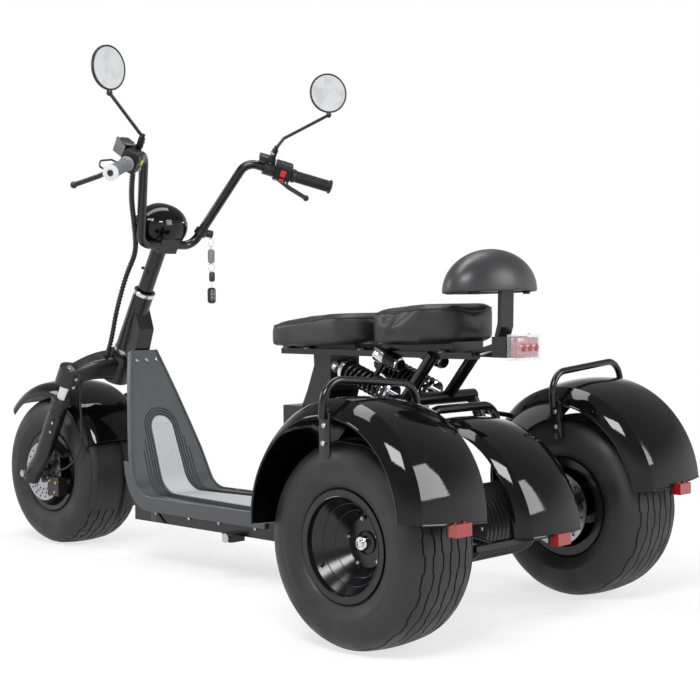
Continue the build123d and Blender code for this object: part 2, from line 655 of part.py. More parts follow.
def frame():
    """Head tube, down tube, floor rails, seat post and seat rails."""
    bore_w0, bore_w1 = CROWN_W + CROWN_H - 60.0, HEAD_W1 + 60.0
    bore = at_steer(column(0, 0, bore_w0, bore_w1, HEAD_BORE_R))
    head_w0 = CROWN_W + CROWN_H + HEAD_GAP
    head = at_steer(column(0, 0, head_w0, HEAD_W1, HEAD_R))
    gusset = [(-289, 705), (-311, 640), (-283, 560), (-371, 300), (-391, 200), (-421, 165), (-421, 135),
              (-361, 135), (-326, 200), (-279, 400), (-263, 515), (-239, 586)]
    down = side_plate([(AXIS_X + x, z) for x, z in gusset], 26)
    swing = at_steer(column(0, 0, SWING_W, head_w0 - 2, CROWN_R + SWING_GAP))
    shield = leg_shield()
    neck = clear_of(head + down, bore, swing, shield)
    rail_end = SHIELD_FOOT[0] + 22.0
    under = FLOOR_Z - SHIELD_T
    rail = box(470, rail_end, RAIL_Y - RAIL_W / 2, RAIL_Y + RAIL_W / 2, RAIL_Z, under)
    cross = box(rail_end - RAIL_W, rail_end, -RAIL_Y, RAIL_Y, RAIL_Z, under)
    cross = cross + box(470, 620, -RAIL_Y, RAIL_Y, RAIL_Z, under)
    peg = box(700, 735, RAIL_Y, RAIL_Y + 45, RAIL_Z - 14, RAIL_Z + 8)
    floor_frame = clear_of(rail + mirror_y(rail) + cross + peg, neck, shield)
    post_side = [(640, under), (560, under), (500, 330), (448, 500), (447, 602), (507, 602), (505, 560),
                 (529, 500), (590, 380)]
    post = side_plate(post_side, POST_HALF)
    seat_rail = box(-20, 600, 42, 72, 588, 602)
    strut = rod((90, SHOCK_Y, 596), (CROSS_X, SHOCK_Y, CROSS_Z), TUBE_R)
    seat_frame = post + seat_rail + mirror_y(seat_rail) + strut + mirror_y(strut)
    seat_frame = clear_of(seat_frame, cross_tube(), shield, floor_frame)
    return {"neck_frame": neck, "floor_frame": floor_frame, "seat_frame": seat_frame}


def cross_tube():
    half = CRADLE_Y + 7.0
    return rod((CROSS_X, -half, CROSS_Z), (CROSS_X, half, CROSS_Z), CROSS_R)


def rear_cradle():
    """Carries the axle: two side arms, uprights, the shock cross tube and the fender stays."""
    arm = rod((PIVOT_X + 10, CRADLE_Y, PIVOT_Z), (0, CRADLE_Y, AXLE_Z), 16.0)
    upright = rod((40, CRADLE_Y, AXLE_Z), (CROSS_X, CRADLE_Y, CROSS_Z), TUBE_R)
    lean = math.radians(FENDER_TILT)
    stay_x, stay_z = 154.0, 168.0
    wall = wall_half(FENDER_HALF, FENDER_R, FENDER_R - FENDER_SKIRT, math.hypot(stay_x, stay_z)) - LAP
    tip_y = FENDER_Y - wall * math.cos(lean) - stay_z * math.sin(lean)
    tip_z = FENDER_Z - wall * math.sin(lean) + stay_z * math.cos(lean)
    stay = rod((CROSS_X - 18, CRADLE_Y, CROSS_Z - 36), (FENDER_X + stay_x, tip_y, tip_z), BOSS_R)
    half = arm + upright + stay
    pivot = rod((PIVOT_X, -CRADLE_Y - 7, PIVOT_Z), (PIVOT_X, CRADLE_Y + 7, PIVOT_Z), 18.0)
    beam_end = REAR_TRACK / 2 - TYRE_WIDTH / 2 - REAR_DISC_OFFSET - DISC_T - WHEEL_GAP
    beam = rod((0, -beam_end, AXLE_Z), (0, beam_end, AXLE_Z), 26.0)
    bar_z = AXLE_Z - 19.0
    plate_bar = box(PLATE_BAR_X - 10, PLATE_BAR_X + 10, -120, 225, bar_z - 6, bar_z + 6)
    bar_arm = rod((PLATE_BAR_X, CRADLE_Y, bar_z), (0, CRADLE_Y, AXLE_Z), 9.0)
    whole = half + mirror_y(half) + cross_tube() + pivot + beam + plate_bar + bar_arm
    for y in PLATE_HOLES_Y:
        whole = whole - Pos(PLATE_BAR_X, y, bar_z) * Cylinder(PLATE_HOLE_R, 30)
    bore = rod((0, -REAR_TRACK, AXLE_Z), (0, REAR_TRACK, AXLE_Z), SHAFT_R + BORE_GAP)
    return whole - bore


def motor():
    return Pos(0, 0, AXLE_Z) * Rot(90, 0, 0) * Cylinder(82.0, 190.0)


def control_boxes():
    """The controller behind the seat post and a small fuse box in front of it."""
    controller = box(250, 472, -88, 88, 402, 468)
    fuse_box = box(540, 612, -56, 56, 402, 458)
    return Compound(children=[*controller.solids(), *fuse_box.solids()])


# ---------------------------------------------------------------- seats
# a pad in side view: (front x, rear x, bottom front, bottom rear, top front, top rear, crown)
FRONT_PAD = (637.0, 296.0, 608.0, 622.0, 653.0, 686.0, 20.0)
REAR_PAD = (286.0, 29.0, 617.0, 628.0, 686.0, 708.0, 14.0)
PAD_HALF = 120.0
PAD_CORNER = 75.0
PAD_ROUND = 12.0


def pad(front_x, rear_x, bottom_front, bottom_rear, top_front, top_rear, crown):
    """A seat pad with a crowned top and a rounded plan."""
    mid_x, mid_top = (front_x + rear_x) / 2, (top_front + top_rear) / 2 + crown / 2
    side = [
        Line((rear_x, bottom_rear), (front_x, bottom_front)),
        Line((front_x, bottom_front), (front_x, top_front)),
        ThreePointArc((front_x, top_front), (mid_x, mid_top), (rear_x, top_rear)),
        Line((rear_x, top_rear), (rear_x, bottom_rear)),
    ]
    body = extrude(Plane.XZ * make_face(Wire(side)), PAD_HALF, both=True)
    plan = RectangleRounded(front_x - rear_x, 2 * PAD_HALF, PAD_CORNER)
    body = body & (Pos(mid_x, 0, 0) * extrude(plan, top_rear + front_x))
    top = body.faces().sort_by(Axis.Z)[-1]
    return fillet(top.edges(), PAD_ROUND)


def seats():
    front_pan = box(360, 600, -54, 54, 602, 616)
    rear_pan = box(50, 270, -54, 54, 602, 625)
    return pad(*FRONT_PAD), pad(*REAR_PAD), front_pan, rear_pan


BACKREST_AT = (-16.0, 0.0, 740.0)
BACKREST_SEMI = (79.0, 138.0, 94.0)
POST_HALF_WIDTH = 22.0


def backrest():
    """A half dome that leans back, on a flat bent post."""
    x, y, z = BACKREST_AT
    above = Pos(x, y, z + 150.0) * Rot(0, 3, 0) * Box(400, 400, 300)
    dome = (Pos(x, y, z) * Rot(0, -8, 0) * scale(Sphere(1.0), BACKREST_SEMI)) & above
    side = [(-66, z + 6), (-56, z + 6), (-54, 668), (-40, 622), (24, 604), (24, 594), (-46, 608), (-64, 660)]
    post = side_plate(side, POST_HALF_WIDTH)
    return dome, clear_of(post, dome)


def tail_light():
    """A black body against the post, with the lamp behind it."""
    body = box(-92, -52, -40, 40, 592, 638)
    lens = box(-128, -92, -43, 43, 586, 643)
    lens = fillet(lens.edges().filter_by(Axis.Z), 10.0)
    return body, lens


def shocks():
    """A coil-over unit, its ridged spring and its gas cylinder, drawn on the left."""
    (top_x, top_z), y = SHOCK_TOP, SHOCK_Y
    top, low = Vector(top_x, y, top_z), Vector(CROSS_X, y, CROSS_Z)
    way = (low - top).normalized()
    length = (low - top).length
    eye = rod(tuple(top + Vector(0, -16, 0)), tuple(top + Vector(0, 16, 0)), 13.0)
    steps = [(0, 40, 10.0), (22, 34, SHOCK_COIL_R), (34, length * 0.55, 19.0), (length * 0.5, length, 7.0)]
    unit = eye + stepped_rod(top, way, steps)
    coil_start, coils, pitch = 36.0, 9, 15.0
    turns = []
    for i in range(coils):
        d = coil_start + i * pitch
        turns += [(d, d + pitch * 0.6, SHOCK_COIL_R), (d + pitch * 0.5, d + pitch + 0.5, SHOCK_COIL_R - 5.0)]
    inside = rod(tuple(top), tuple(low), SHOCK_COIL_R - 9.0)
    spring = stepped_rod(top, way, turns) - inside
    gas_top, gas_low = Vector(268, y + 2, 598), Vector(184, y + 2, 568)
    gas_way = (gas_low - gas_top).normalized()
    gas = stepped_rod(gas_top, gas_way, [(0, 8, 14.0), (6, 76, 17.5), (74, 86, 13.0)])
    up = Vector(way.Z, 0, -way.X)
    link_foot = top + way * 118.0 + up * (SHOCK_COIL_R - 7.0)
    neck = rod((238, y, 582), tuple(link_foot), 7.0)
    return unit, spring, gas + neck


# ---------------------------------------------------------------- rear fenders
def fender_shell(half, radius, arch, foot, front):
    """One fender about its own crown centre, its arch open at the sides, its foot level."""
    section = arch_section(half, radius, radius - FENDER_SKIRT, FENDER_T)
    shell = wheel_arc(-30, 210, section, 0, 0)
    arch_x, arch_z = arch
    shell = shell - Pos(arch_x, 0, arch_z) * Rot(90, 0, 0) * Cylinder(ARCH_R, 4 * half)
    shell = shell - box(-2 * radius, 0, -2 * half, 2 * half, -2 * radius, foot)
    return shell - box(0, 2 * radius, -2 * half, 2 * half, -2 * radius, front)


def fender_handle(half, radius, bar_r, gap, foot):
    """A staple over the crown, with a boss from each leg to the fender's wall."""
    leg_y = half + bar_r - LAP
    top = radius + gap + bar_r
    points = [(0, leg_y, foot), (0, leg_y, top), (0, -leg_y, top), (0, -leg_y, foot)]
    boss_z = foot + 16.0
    wall_y = wall_half(half, radius, radius - FENDER_SKIRT, boss_z) - LAP
    boss = rod((0, leg_y, boss_z), (0, wall_y, boss_z), BOSS_R)
    return bent_bar(points, HANDLE_BEND, bar_r) + boss + mirror_y(boss)


def fenders():
    side_arch = (-FENDER_X, ARCH_Z - FENDER_Z)
    side = fender_shell(FENDER_HALF, FENDER_R, side_arch, FENDER_FOOT_Z - FENDER_Z, FENDER_FRONT_Z - FENDER_Z)
    handle = fender_handle(FENDER_HALF, FENDER_R, HANDLE_R, HANDLE_GAP, HANDLE_FOOT)
    tilt = Rot(FENDER_TILT, 0, 0)
    left = Pos(FENDER_X, FENDER_Y, FENDER_Z) * tilt * side
    left_handle = Pos(HANDLE_X, FENDER_Y, FENDER_Z) * tilt * handle
    shell = fender_shell(MID_HALF, MID_R, (0, MID_ARCH_Z - MID_Z), MID_FOOT_Z - MID_Z, 0)
    mid = Pos(MID_X, 0, MID_Z) * shell
    mid_bar = fender_handle(MID_HALF, MID_R, MID_HANDLE_R, MID_HANDLE_GAP, MID_HANDLE_FOOT)
    mid_handle = Pos(MID_HANDLE_X, 0, MID_Z) * mid_bar
    lamps = []
    mid_lamp_x = MID_X - MID_R + 4.0
    places = ((REFLECTOR_X, FENDER_Y, 275), (REFLECTOR_X, -FENDER_Y, 275), (mid_lamp_x, 0, 201))
    for x, y, z in places:
        lamps.append(Pos(x, y, z) * Box(*REFLECTOR))
    return left, mirror_y(left), mid, left_handle, mid_handle, lamps


def chassis_nodes():
    nodes = frame()
    seat_frame = nodes["seat_frame"]
    nodes["leg_shield"] = leg_shield()
    nodes["floor_mat"] = floor_mat()
    cradle = rear_cradle()
    block = motor()
    left, right, mid, handle, mid_handle, lamps = fenders()
    nodes["motor_block"] = block
    cradle = clear_of(cradle, block, nodes["floor_frame"], seat_frame, left, right, mid)
    nodes["rear_cradle"] = cradle
    nodes["control_boxes"] = clear_of(control_boxes(), seat_frame, cradle)
    front, rear, front_pan, rear_pan = seats()
    dome, post = backrest()
    lamp_body, lamp_lens = tail_light()
    nodes["front_seat"] = front
    nodes["rear_seat"] = rear
    pans = Compound(children=[*front_pan.solids(), *rear_pan.solids()])
    nodes["backrest_pad"] = dome
    nodes["backrest_post"] = clear_of(post, rear, seat_frame)
    nodes["seat_pans"] = clear_of(pans, front, rear, nodes["backrest_post"], seat_frame)
    nodes["tail_light"] = clear_of(lamp_body, nodes["backrest_post"], rear)
    nodes["tail_light_lens"] = lamp_lens
    unit, spring, gas = shocks()
    unit, spring, gas = both_sides(unit), both_sides(spring), both_sides(gas)
    units = clear_of(unit, seat_frame, cradle, nodes["control_boxes"])
    springs = clear_of(spring, units, seat_frame, cradle, nodes["control_boxes"])
    nodes["shock_units"] = units
    nodes["shock_springs"] = springs
    nodes["shock_reservoirs"] = clear_of(gas, units, springs, seat_frame)
    nodes["fender_left"] = left
    nodes["fender_right"] = right
    nodes["fender_middle"] = mid
    handles = Compound(children=[*handle.solids(), *mirror_y(handle).solids(), *mid_handle.solids()])
    nodes["fender_handles"] = clear_of(handles, left, right, mid, cradle)
    nodes["rear_reflectors"] = clear_of(Compound(children=lamps), left, right, mid)
    return nodes


def wheel_nodes():
    nodes = {}
    nodes["front_tyre"], nodes["front_rim"], nodes["front_disc"] = front_wheel()
    for name, side in (("left", 1), ("right", -1)):
        parts = rear_wheel(side)
        for piece, shape in zip(("tyre", "rim", "disc"), parts):
            nodes[f"rear_{name}_{piece}"] = shape
    return nodes


def export(nodes):
    os.makedirs("parts", exist_ok=True)
    shift = Pos(-CENTRE_X, 0, 0)
    for name, shape in nodes.items():
        export_step(shift * shape, f"parts/{name}.step")
    print(len(nodes), "nodes")


export({**chassis_nodes(), **steering_nodes(), **wheel_nodes()})
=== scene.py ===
"""Dresses the motor tricycle: fat ribbed tyres, glossy fenders, padded seats, swept handlebar and cables.

Places are written in millimetres from the rear axle on the ground (+X forward, +Y to the rider's
left, +Z up), as the solids' source writes them, and at() turns them into the frame's metres.
"""
from __future__ import annotations

import json
import logging
import math
from dataclasses import dataclass
from enum import Enum
from typing import Callable, Iterable, Optional, Sequence

import bmesh
import bpy
from mathutils import Matrix, Vector
from mathutils.bvhtree import BVHTree

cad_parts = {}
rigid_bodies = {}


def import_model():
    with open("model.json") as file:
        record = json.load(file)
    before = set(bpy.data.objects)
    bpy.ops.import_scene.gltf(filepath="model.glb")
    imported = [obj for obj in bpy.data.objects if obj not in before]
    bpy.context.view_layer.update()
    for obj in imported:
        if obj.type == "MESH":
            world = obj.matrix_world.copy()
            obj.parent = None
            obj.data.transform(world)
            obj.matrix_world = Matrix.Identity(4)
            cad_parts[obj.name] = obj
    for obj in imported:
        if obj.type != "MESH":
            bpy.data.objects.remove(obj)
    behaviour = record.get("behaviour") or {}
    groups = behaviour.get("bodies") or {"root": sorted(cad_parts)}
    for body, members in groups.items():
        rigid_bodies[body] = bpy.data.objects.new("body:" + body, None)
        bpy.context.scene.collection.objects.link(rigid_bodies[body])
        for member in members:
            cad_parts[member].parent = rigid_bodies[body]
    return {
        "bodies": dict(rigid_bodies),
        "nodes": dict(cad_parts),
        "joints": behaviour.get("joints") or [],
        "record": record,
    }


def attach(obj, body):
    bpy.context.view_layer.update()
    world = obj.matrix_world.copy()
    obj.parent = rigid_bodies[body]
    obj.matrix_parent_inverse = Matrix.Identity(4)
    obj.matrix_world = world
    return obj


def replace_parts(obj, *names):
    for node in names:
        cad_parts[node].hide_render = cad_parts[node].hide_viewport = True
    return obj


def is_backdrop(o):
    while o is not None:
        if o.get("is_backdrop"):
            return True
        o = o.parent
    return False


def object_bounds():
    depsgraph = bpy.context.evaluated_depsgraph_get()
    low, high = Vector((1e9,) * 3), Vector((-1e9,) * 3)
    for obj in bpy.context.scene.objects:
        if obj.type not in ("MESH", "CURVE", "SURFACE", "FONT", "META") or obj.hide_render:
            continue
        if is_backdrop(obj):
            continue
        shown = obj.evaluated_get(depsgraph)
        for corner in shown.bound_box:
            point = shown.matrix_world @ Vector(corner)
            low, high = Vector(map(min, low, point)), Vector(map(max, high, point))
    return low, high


LOG = logging.getLogger("tricycle")
Point = Sequence[float]
Settings = Optional[dict[str, object]]
Sockets = Optional[dict[object, object]]

# ------------------------------------------------------------------ driving sizes, millimetres
CENTRE_X = 772.75            # the frame's origin, ahead of the rear axle
WHEELBASE = 1600.0
REAR_TRACK = 750.0
AXLE_Z = 220.0
TYRE_RADIUS = 220.0
TYRE_WIDTH = 205.0
BEAD_RADIUS = 101.0
RAKE = math.radians(30.0)
AXIS_AHEAD = 1551.0
CLAMP_UP = 748.0             # the handlebar clamp, up the steering axis

AHEAD, LEFT, UP = Vector((1, 0, 0)), Vector((0, 1, 0)), Vector((0, 0, 1))


def at(x: float, y: float, z: float) -> Vector:
    """A place in millimetres from the rear axle, as a point of the frame in metres."""
    return Vector(((x - CENTRE_X) / 1000.0, y / 1000.0, z / 1000.0))


def at_steer(u: float, v: float, w: float) -> Vector:
    """A place in the steering's own directions (u forward, v left, w up its axis), in the frame."""
    x = AXIS_AHEAD + u * math.cos(RAKE) - w * math.sin(RAKE)
    return at(x, v, AXLE_Z + u * math.sin(RAKE) + w * math.cos(RAKE))


STEER_UP = (at_steer(0, 0, 1) - at_steer(0, 0, 0)).normalized()
STEER_AHEAD = (at_steer(1, 0, 0) - at_steer(0, 0, 0)).normalized()


def hand(side: int) -> str:
    """The name of the left (1) or the right (-1) side."""
    return "left" if side > 0 else "right"


def sideways(places: Iterable[Point], size: Point) -> list[tuple[Vector, Vector, Point]]:
    """Fixings at mirrored places, each pointing away from the middle plane.

    Args:
        places: those on the left, in millimetres from the rear axle.
        size: each one's half width, half depth and height in millimetres.

    Returns:
        What Fixings.place takes, left and right by turns.
    """
    return [(at(x, side * y, z), Vector((0, side, 0)), size) for x, y, z in places for side in (1, -1)]


class Body(Enum):
    """The bodies that pieces ride on."""

    CHASSIS = "chassis"
    STEERING = "steering"
    FRONT_WHEEL = "front_wheel"
    REAR_LEFT = "rear_wheel_left"
    REAR_RIGHT = "rear_wheel_right"


# ------------------------------------------------------------------ shader arithmetic
class Value:
    """A number in a shader tree. Python's operators on it add Math nodes."""

    def __init__(self, shader: Shader, socket: bpy.types.NodeSocket) -> None:
        """Wraps one output socket."""
        self.shader = shader
        self.socket = socket

    def math(self, operation: str, other: float | Value) -> Value:
        """The result of one Math node on this value and another."""
        return Value(self.shader, self.shader.add("Math", {"operation": operation}, {0: self, 1: other}))

    def __add__(self, other: float | Value) -> Value:
        """self + other."""
        return self.math("ADD", other)

    def __mul__(self, other: float | Value) -> Value:
        """self * other."""
        return self.math("MULTIPLY", other)

    def __pow__(self, other: float | Value) -> Value:
        """self ** other."""
        return self.math("POWER", other)

    def ramp(self, low: float, high: float, start: float = 0.0, end: float = 1.0) -> Value:
        """A smooth step.

        Args:
            low: where it starts to change.
            high: where it has changed.
            start: the result below low.
            end: the result above high.

        Returns:
            The stepped value.
        """
        sockets = {"Value": self, "From Min": low, "From Max": high, "To Min": start, "To Max": end}
        return Value(self.shader, self.shader.add("MapRange", {"interpolation_type": "SMOOTHSTEP"}, sockets))


class Tree:
    """A node tree, whose nodes are added with their settings, values and links."""

    prefix = "ShaderNode"

    def __init__(self, tree: bpy.types.NodeTree) -> None:
        """Wraps a tree."""
        self.tree = tree

    def node(self, kind: str, settings: Settings = None, sockets: Sockets = None) -> bpy.types.Node:
        """Adds a node.

        Args:
            kind: its type; a short one gets the tree's own prefix.
            settings: its properties, set first.
            sockets: its inputs, each a plain value, a socket, a Value or a list of sockets.

        Returns:
            The node.
        """
        made = self.tree.nodes.new(kind if "Node" in kind else self.prefix + kind)
        for name, setting in (settings or {}).items():
            setattr(made, name, setting)
        for name, given in (sockets or {}).items():
            for one in given if isinstance(given, list) else [given]:
                one = one.socket if isinstance(one, Value) else one
                if isinstance(one, bpy.types.NodeSocket):
                    self.tree.links.new(one, made.inputs[name])
                else:
                    made.inputs[name].default_value = one
        return made

    def add(self, kind: str, settings: Settings = None, sockets: Sockets = None) -> bpy.types.NodeSocket:
        """Adds a node as node() does and gives its first output."""
        return self.node(kind, settings, sockets).outputs[0]


class Shader(Tree):
    """One material's node tree, ending in a Principled surface."""

    def __init__(self, name: str) -> None:
        """Starts an empty material of that name.

        Args:
            name: the material's name.
        """
        self.material = bpy.data.materials.new(name)
        self.material.use_nodes = True
        super().__init__(self.material.node_tree)
        self.tree.nodes.clear()
        self.output = self.node("OutputMaterial")
        self.place = self.node("TexCoord").outputs["Object"]

    def value(self, node: bpy.types.Node, output: str | int = 0) -> Value:
        """Wraps a node's output as a Value."""
        return Value(self, node.outputs[output])

    def xyz(self) -> tuple[Value, Value, Value]:
        """The three parts of the object's own coordinates."""
        parts = self.node("SeparateXYZ", sockets={0: self.place})
        return self.value(parts, 0), self.value(parts, 1), self.value(parts, 2)

    def stretched(self, scale: Point) -> bpy.types.NodeSocket:
        """Object coordinates, scaled along each axis."""
        return self.add("Mapping", sockets={"Vector": self.place, "Scale": tuple(scale)})

    def noise(self, scale: float, detail: float = 2.0, where: bpy.types.NodeSocket | None = None) -> Value:
        """Noise between 0 and 1.

        Args:
            scale: cells per metre.
            detail: octaves.
            where: the coordinates, the object's own unless told otherwise.

        Returns:
            The noise.
        """
        sockets = {"Vector": where or self.place, "Scale": scale, "Detail": detail}
        return self.value(self.node("TexNoise", sockets=sockets), 0)

    def cells(self, scale: float, feature: str = "F1") -> Value:
        """Distance in a Voronoi pattern of so many cells per metre."""
        sockets = {"Vector": self.place, "Scale": scale}
        return self.value(self.node("TexVoronoi", {"feature": feature}, sockets), "Distance")

    def mix(self, factor: float | Value, first: object, second: object) -> bpy.types.NodeSocket:
        """A colour between two colours."""
        sockets = {"Factor": factor, 6: first, 7: second}
        return self.node("Mix", {"data_type": "RGBA"}, sockets).outputs[2]

    def bump(self, height: Value, strength: float, distance: float) -> bpy.types.NodeSocket:
        """A normal bent by a height, whose full step is distance metres."""
        sockets = {"Height": height, "Strength": strength, "Distance": distance}
        return self.add("Bump", sockets=sockets)

    def surface(self, **sockets: object) -> bpy.types.Material:
        """Ends the tree in a Principled surface.

        Args:
            sockets: inputs by name, with _ for a space.

        Returns:
            The finished material.
        """
        named = {name.replace("_", " "): given for name, given in sockets.items()}
        made = self.node("BsdfPrincipled", sockets=named)
        self.tree.links.new(made.outputs[0], self.output.inputs["Surface"])
        return self.material


def rgb(red: float, green: float, blue: float) -> tuple[float, float, float, float]:
    """A linear colour with full alpha."""
    return (red, green, blue, 1.0)


# ------------------------------------------------------------------ meshes
def arc_through(a: Point, b: Point, c: Point, steps: int) -> list[tuple[float, float]]:
    """Points on the circle arc from a through b to c.

    Args:
        a: the first point.
        b: a point between the ends.
        c: the last point.
        steps: how many pieces the arc has.

    Returns:
        The points, both ends included.
    """
    (ax, ay), (bx, by), (cx, cy) = a, b, c
    d = 2 * (ax * (by - cy) + bx * (cy - ay) + cx * (ay - by))
    sa, sb, sc = ax * ax + ay * ay, bx * bx + by * by, cx * cx + cy * cy
    mx = (sa * (by - cy) + sb * (cy - ay) + sc * (ay - by)) / d
    my = (sa * (cx - bx) + sb * (ax - cx) + sc * (bx - ax)) / d
    radius = math.hypot(ax - mx, ay - my)
    start = math.atan2(ay - my, ax - mx)
    middle = (math.atan2(by - my, bx - mx) - start) % math.tau
    whole = (math.atan2(cy - my, cx - mx) - start) % math.tau
    if middle > whole:
        whole -= math.tau
    angles = [start + whole * i / steps for i in range(steps + 1)]
    return [(mx + radius * math.cos(t), my + radius * math.sin(t)) for t in angles]


def curved(start: Vector, corner: Vector, end: Vector, steps: int) -> list[Vector]:
    """Points on the smooth curve from start to end that heads for the corner between them."""
    shares = [i / steps for i in range(steps + 1)]
    return [start * (1 - t) ** 2 + corner * 2 * t * (1 - t) + end * t * t for t in shares]


def read_table(rows: Sequence[Point], x: float, outside: float) -> float:
    """Reads a table between its rows.

    Args:
        rows: points as (x, y), with x rising.
        x: where to read.
        outside: the result beyond the table.

    Returns:
        The y at x.
    """
    for (x0, y0), (x1, y1) in zip(rows, rows[1:]):
        if x0 <= x <= x1 and x1 > x0:
            return y0 + (y1 - y0) * (x - x0) / (x1 - x0)
    return outside


def bent(points: Sequence[Point], bend: float, steps: int = 5) -> list[Vector]:
    """A line with its corners rounded.

    Args:
        points: the corners.
        bend: the radius of the bends, made smaller where a run is short.
        steps: pieces for each bend.

    Returns:
        The rounded line's points.
    """
    knots = [Vector(point) for point in points]
    line = [knots[0]]
    for before, here, after in zip(knots, knots[1:], knots[2:]):
        back, on = (before - here), (after - here)
        half = back.angle(on) / 2
        reach = min(bend / math.tan(half), 0.48 * min(back.length, on.length))
        line += curved(here + back.normalized() * reach, here, here + on.normalized() * reach, steps)
    return [*line, knots[-1]]


def circle(radius: float, steps: int, centre: Point = (0.0, 0.0)) -> list[tuple[float, float]]:
    """A circle's points in its own plane."""
    turns = [math.tau * i / steps for i in range(steps)]
    return [(centre[0] + radius * math.cos(t), centre[1] + radius * math.sin(t)) for t in turns]


def rounded(width: float, depth: float, corner: float, steps: int = 4) -> list[tuple[float, float]]:
    """A rectangle's outline with rounded corners, about its centre.

    Args:
        width: its length along x.
        depth: its length along y.
        corner: the corners' radius.
        steps: pieces for each corner.

    Returns:
        The outline's points.
    """
    outline = []
    for sx, sy, start in ((1, 1, 0), (-1, 1, 90), (-1, -1, 180), (1, -1, 270)):
        for i in range(steps + 1):
            t = math.radians(start + 90 * i / steps)
            x = sx * (width / 2 - corner) + corner * math.cos(t)
            outline.append((x, sy * (depth / 2 - corner) + corner * math.sin(t)))
    return outline


def put_in_scene(name: str, data: bpy.types.ID) -> bpy.types.Object:
    """Makes an object of some data and links it to the scene.

    Args:
        name: the object's name.
        data: its mesh, curve, camera or lamp.

    Returns:
        The object.
    """
    made = bpy.data.objects.new(name, data)
    bpy.context.scene.collection.objects.link(made)
    return made


def coat(mesh: bpy.types.Mesh, finish: bpy.types.Material) -> None:
    """Gives a mesh one finish, in place of any that it has."""
    mesh.materials.clear()
    mesh.materials.append(finish)


def settle(piece: bpy.types.Object) -> bpy.types.Mesh:
    """The mesh that an object's modifiers give; the modifiers are taken off.

    Args:
        piece: the object.

    Returns:
        A new mesh.
    """
    graph = bpy.context.evaluated_depsgraph_get()
    mesh = bpy.data.meshes.new_from_object(piece.evaluated_get(graph), depsgraph=graph)
    piece.modifiers.clear()
    return mesh


def surface_of(mesh: bpy.types.Mesh) -> BVHTree:
    """A mesh's surface, to lay things on.

    Args:
        mesh: the mesh.

    Returns:
        Its faces, ready for rays.
    """
    return BVHTree.FromPolygons(
        [v.co.copy() for v in mesh.vertices], [tuple(p.vertices) for p in mesh.polygons]
    )


def ride(mesh: bpy.types.Mesh, name: str, finish: bpy.types.Material, body: Body) -> bpy.types.Object:
    """Makes a finished mesh a piece of one body.

    Args:
        mesh: the piece's mesh, already in its place.
        name: the piece's name.
        finish: its material.
        body: what it moves with.

    Returns:
        The piece.
    """
    piece = put_in_scene(name, mesh)
    coat(mesh, finish)
    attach(piece, body.value)
    return piece


def soften(mesh: bpy.types.Mesh, bevel: float = 0.0, sharp: float = 38.0) -> None:
    """Merges doubles, turns the faces outwards, rounds sharp edges and shades the rest smooth.

    Args:
        mesh: the mesh to finish.
        bevel: the edges' rounding in millimetres.
        sharp: the angle in degrees past which an edge stays crisp.
    """
    work = bmesh.new()
    work.from_mesh(mesh)
    bmesh.ops.remove_doubles(work, verts=work.verts, dist=2e-6)
    bmesh.ops.dissolve_degenerate(work, dist=1e-7, edges=work.edges)
    bmesh.ops.recalc_face_normals(work, faces=work.faces)
    limit = math.radians(sharp)
    if bevel:
        edges = [e for e in work.edges if len(e.link_faces) == 2 and e.calc_face_angle() > limit]
        size = {"offset": bevel / 1000.0, "segments": 2, "profile": 0.5}
        bmesh.ops.bevel(work, geom=edges, affect="EDGES", clamp_overlap=True, **size)
        bmesh.ops.recalc_face_normals(work, faces=work.faces)
    for face in work.faces:
        face.smooth = True
    for edge in work.edges:
        edge.smooth = len(edge.link_faces) == 2 and edge.calc_face_angle() < limit
    work.to_mesh(mesh)
    work.free()


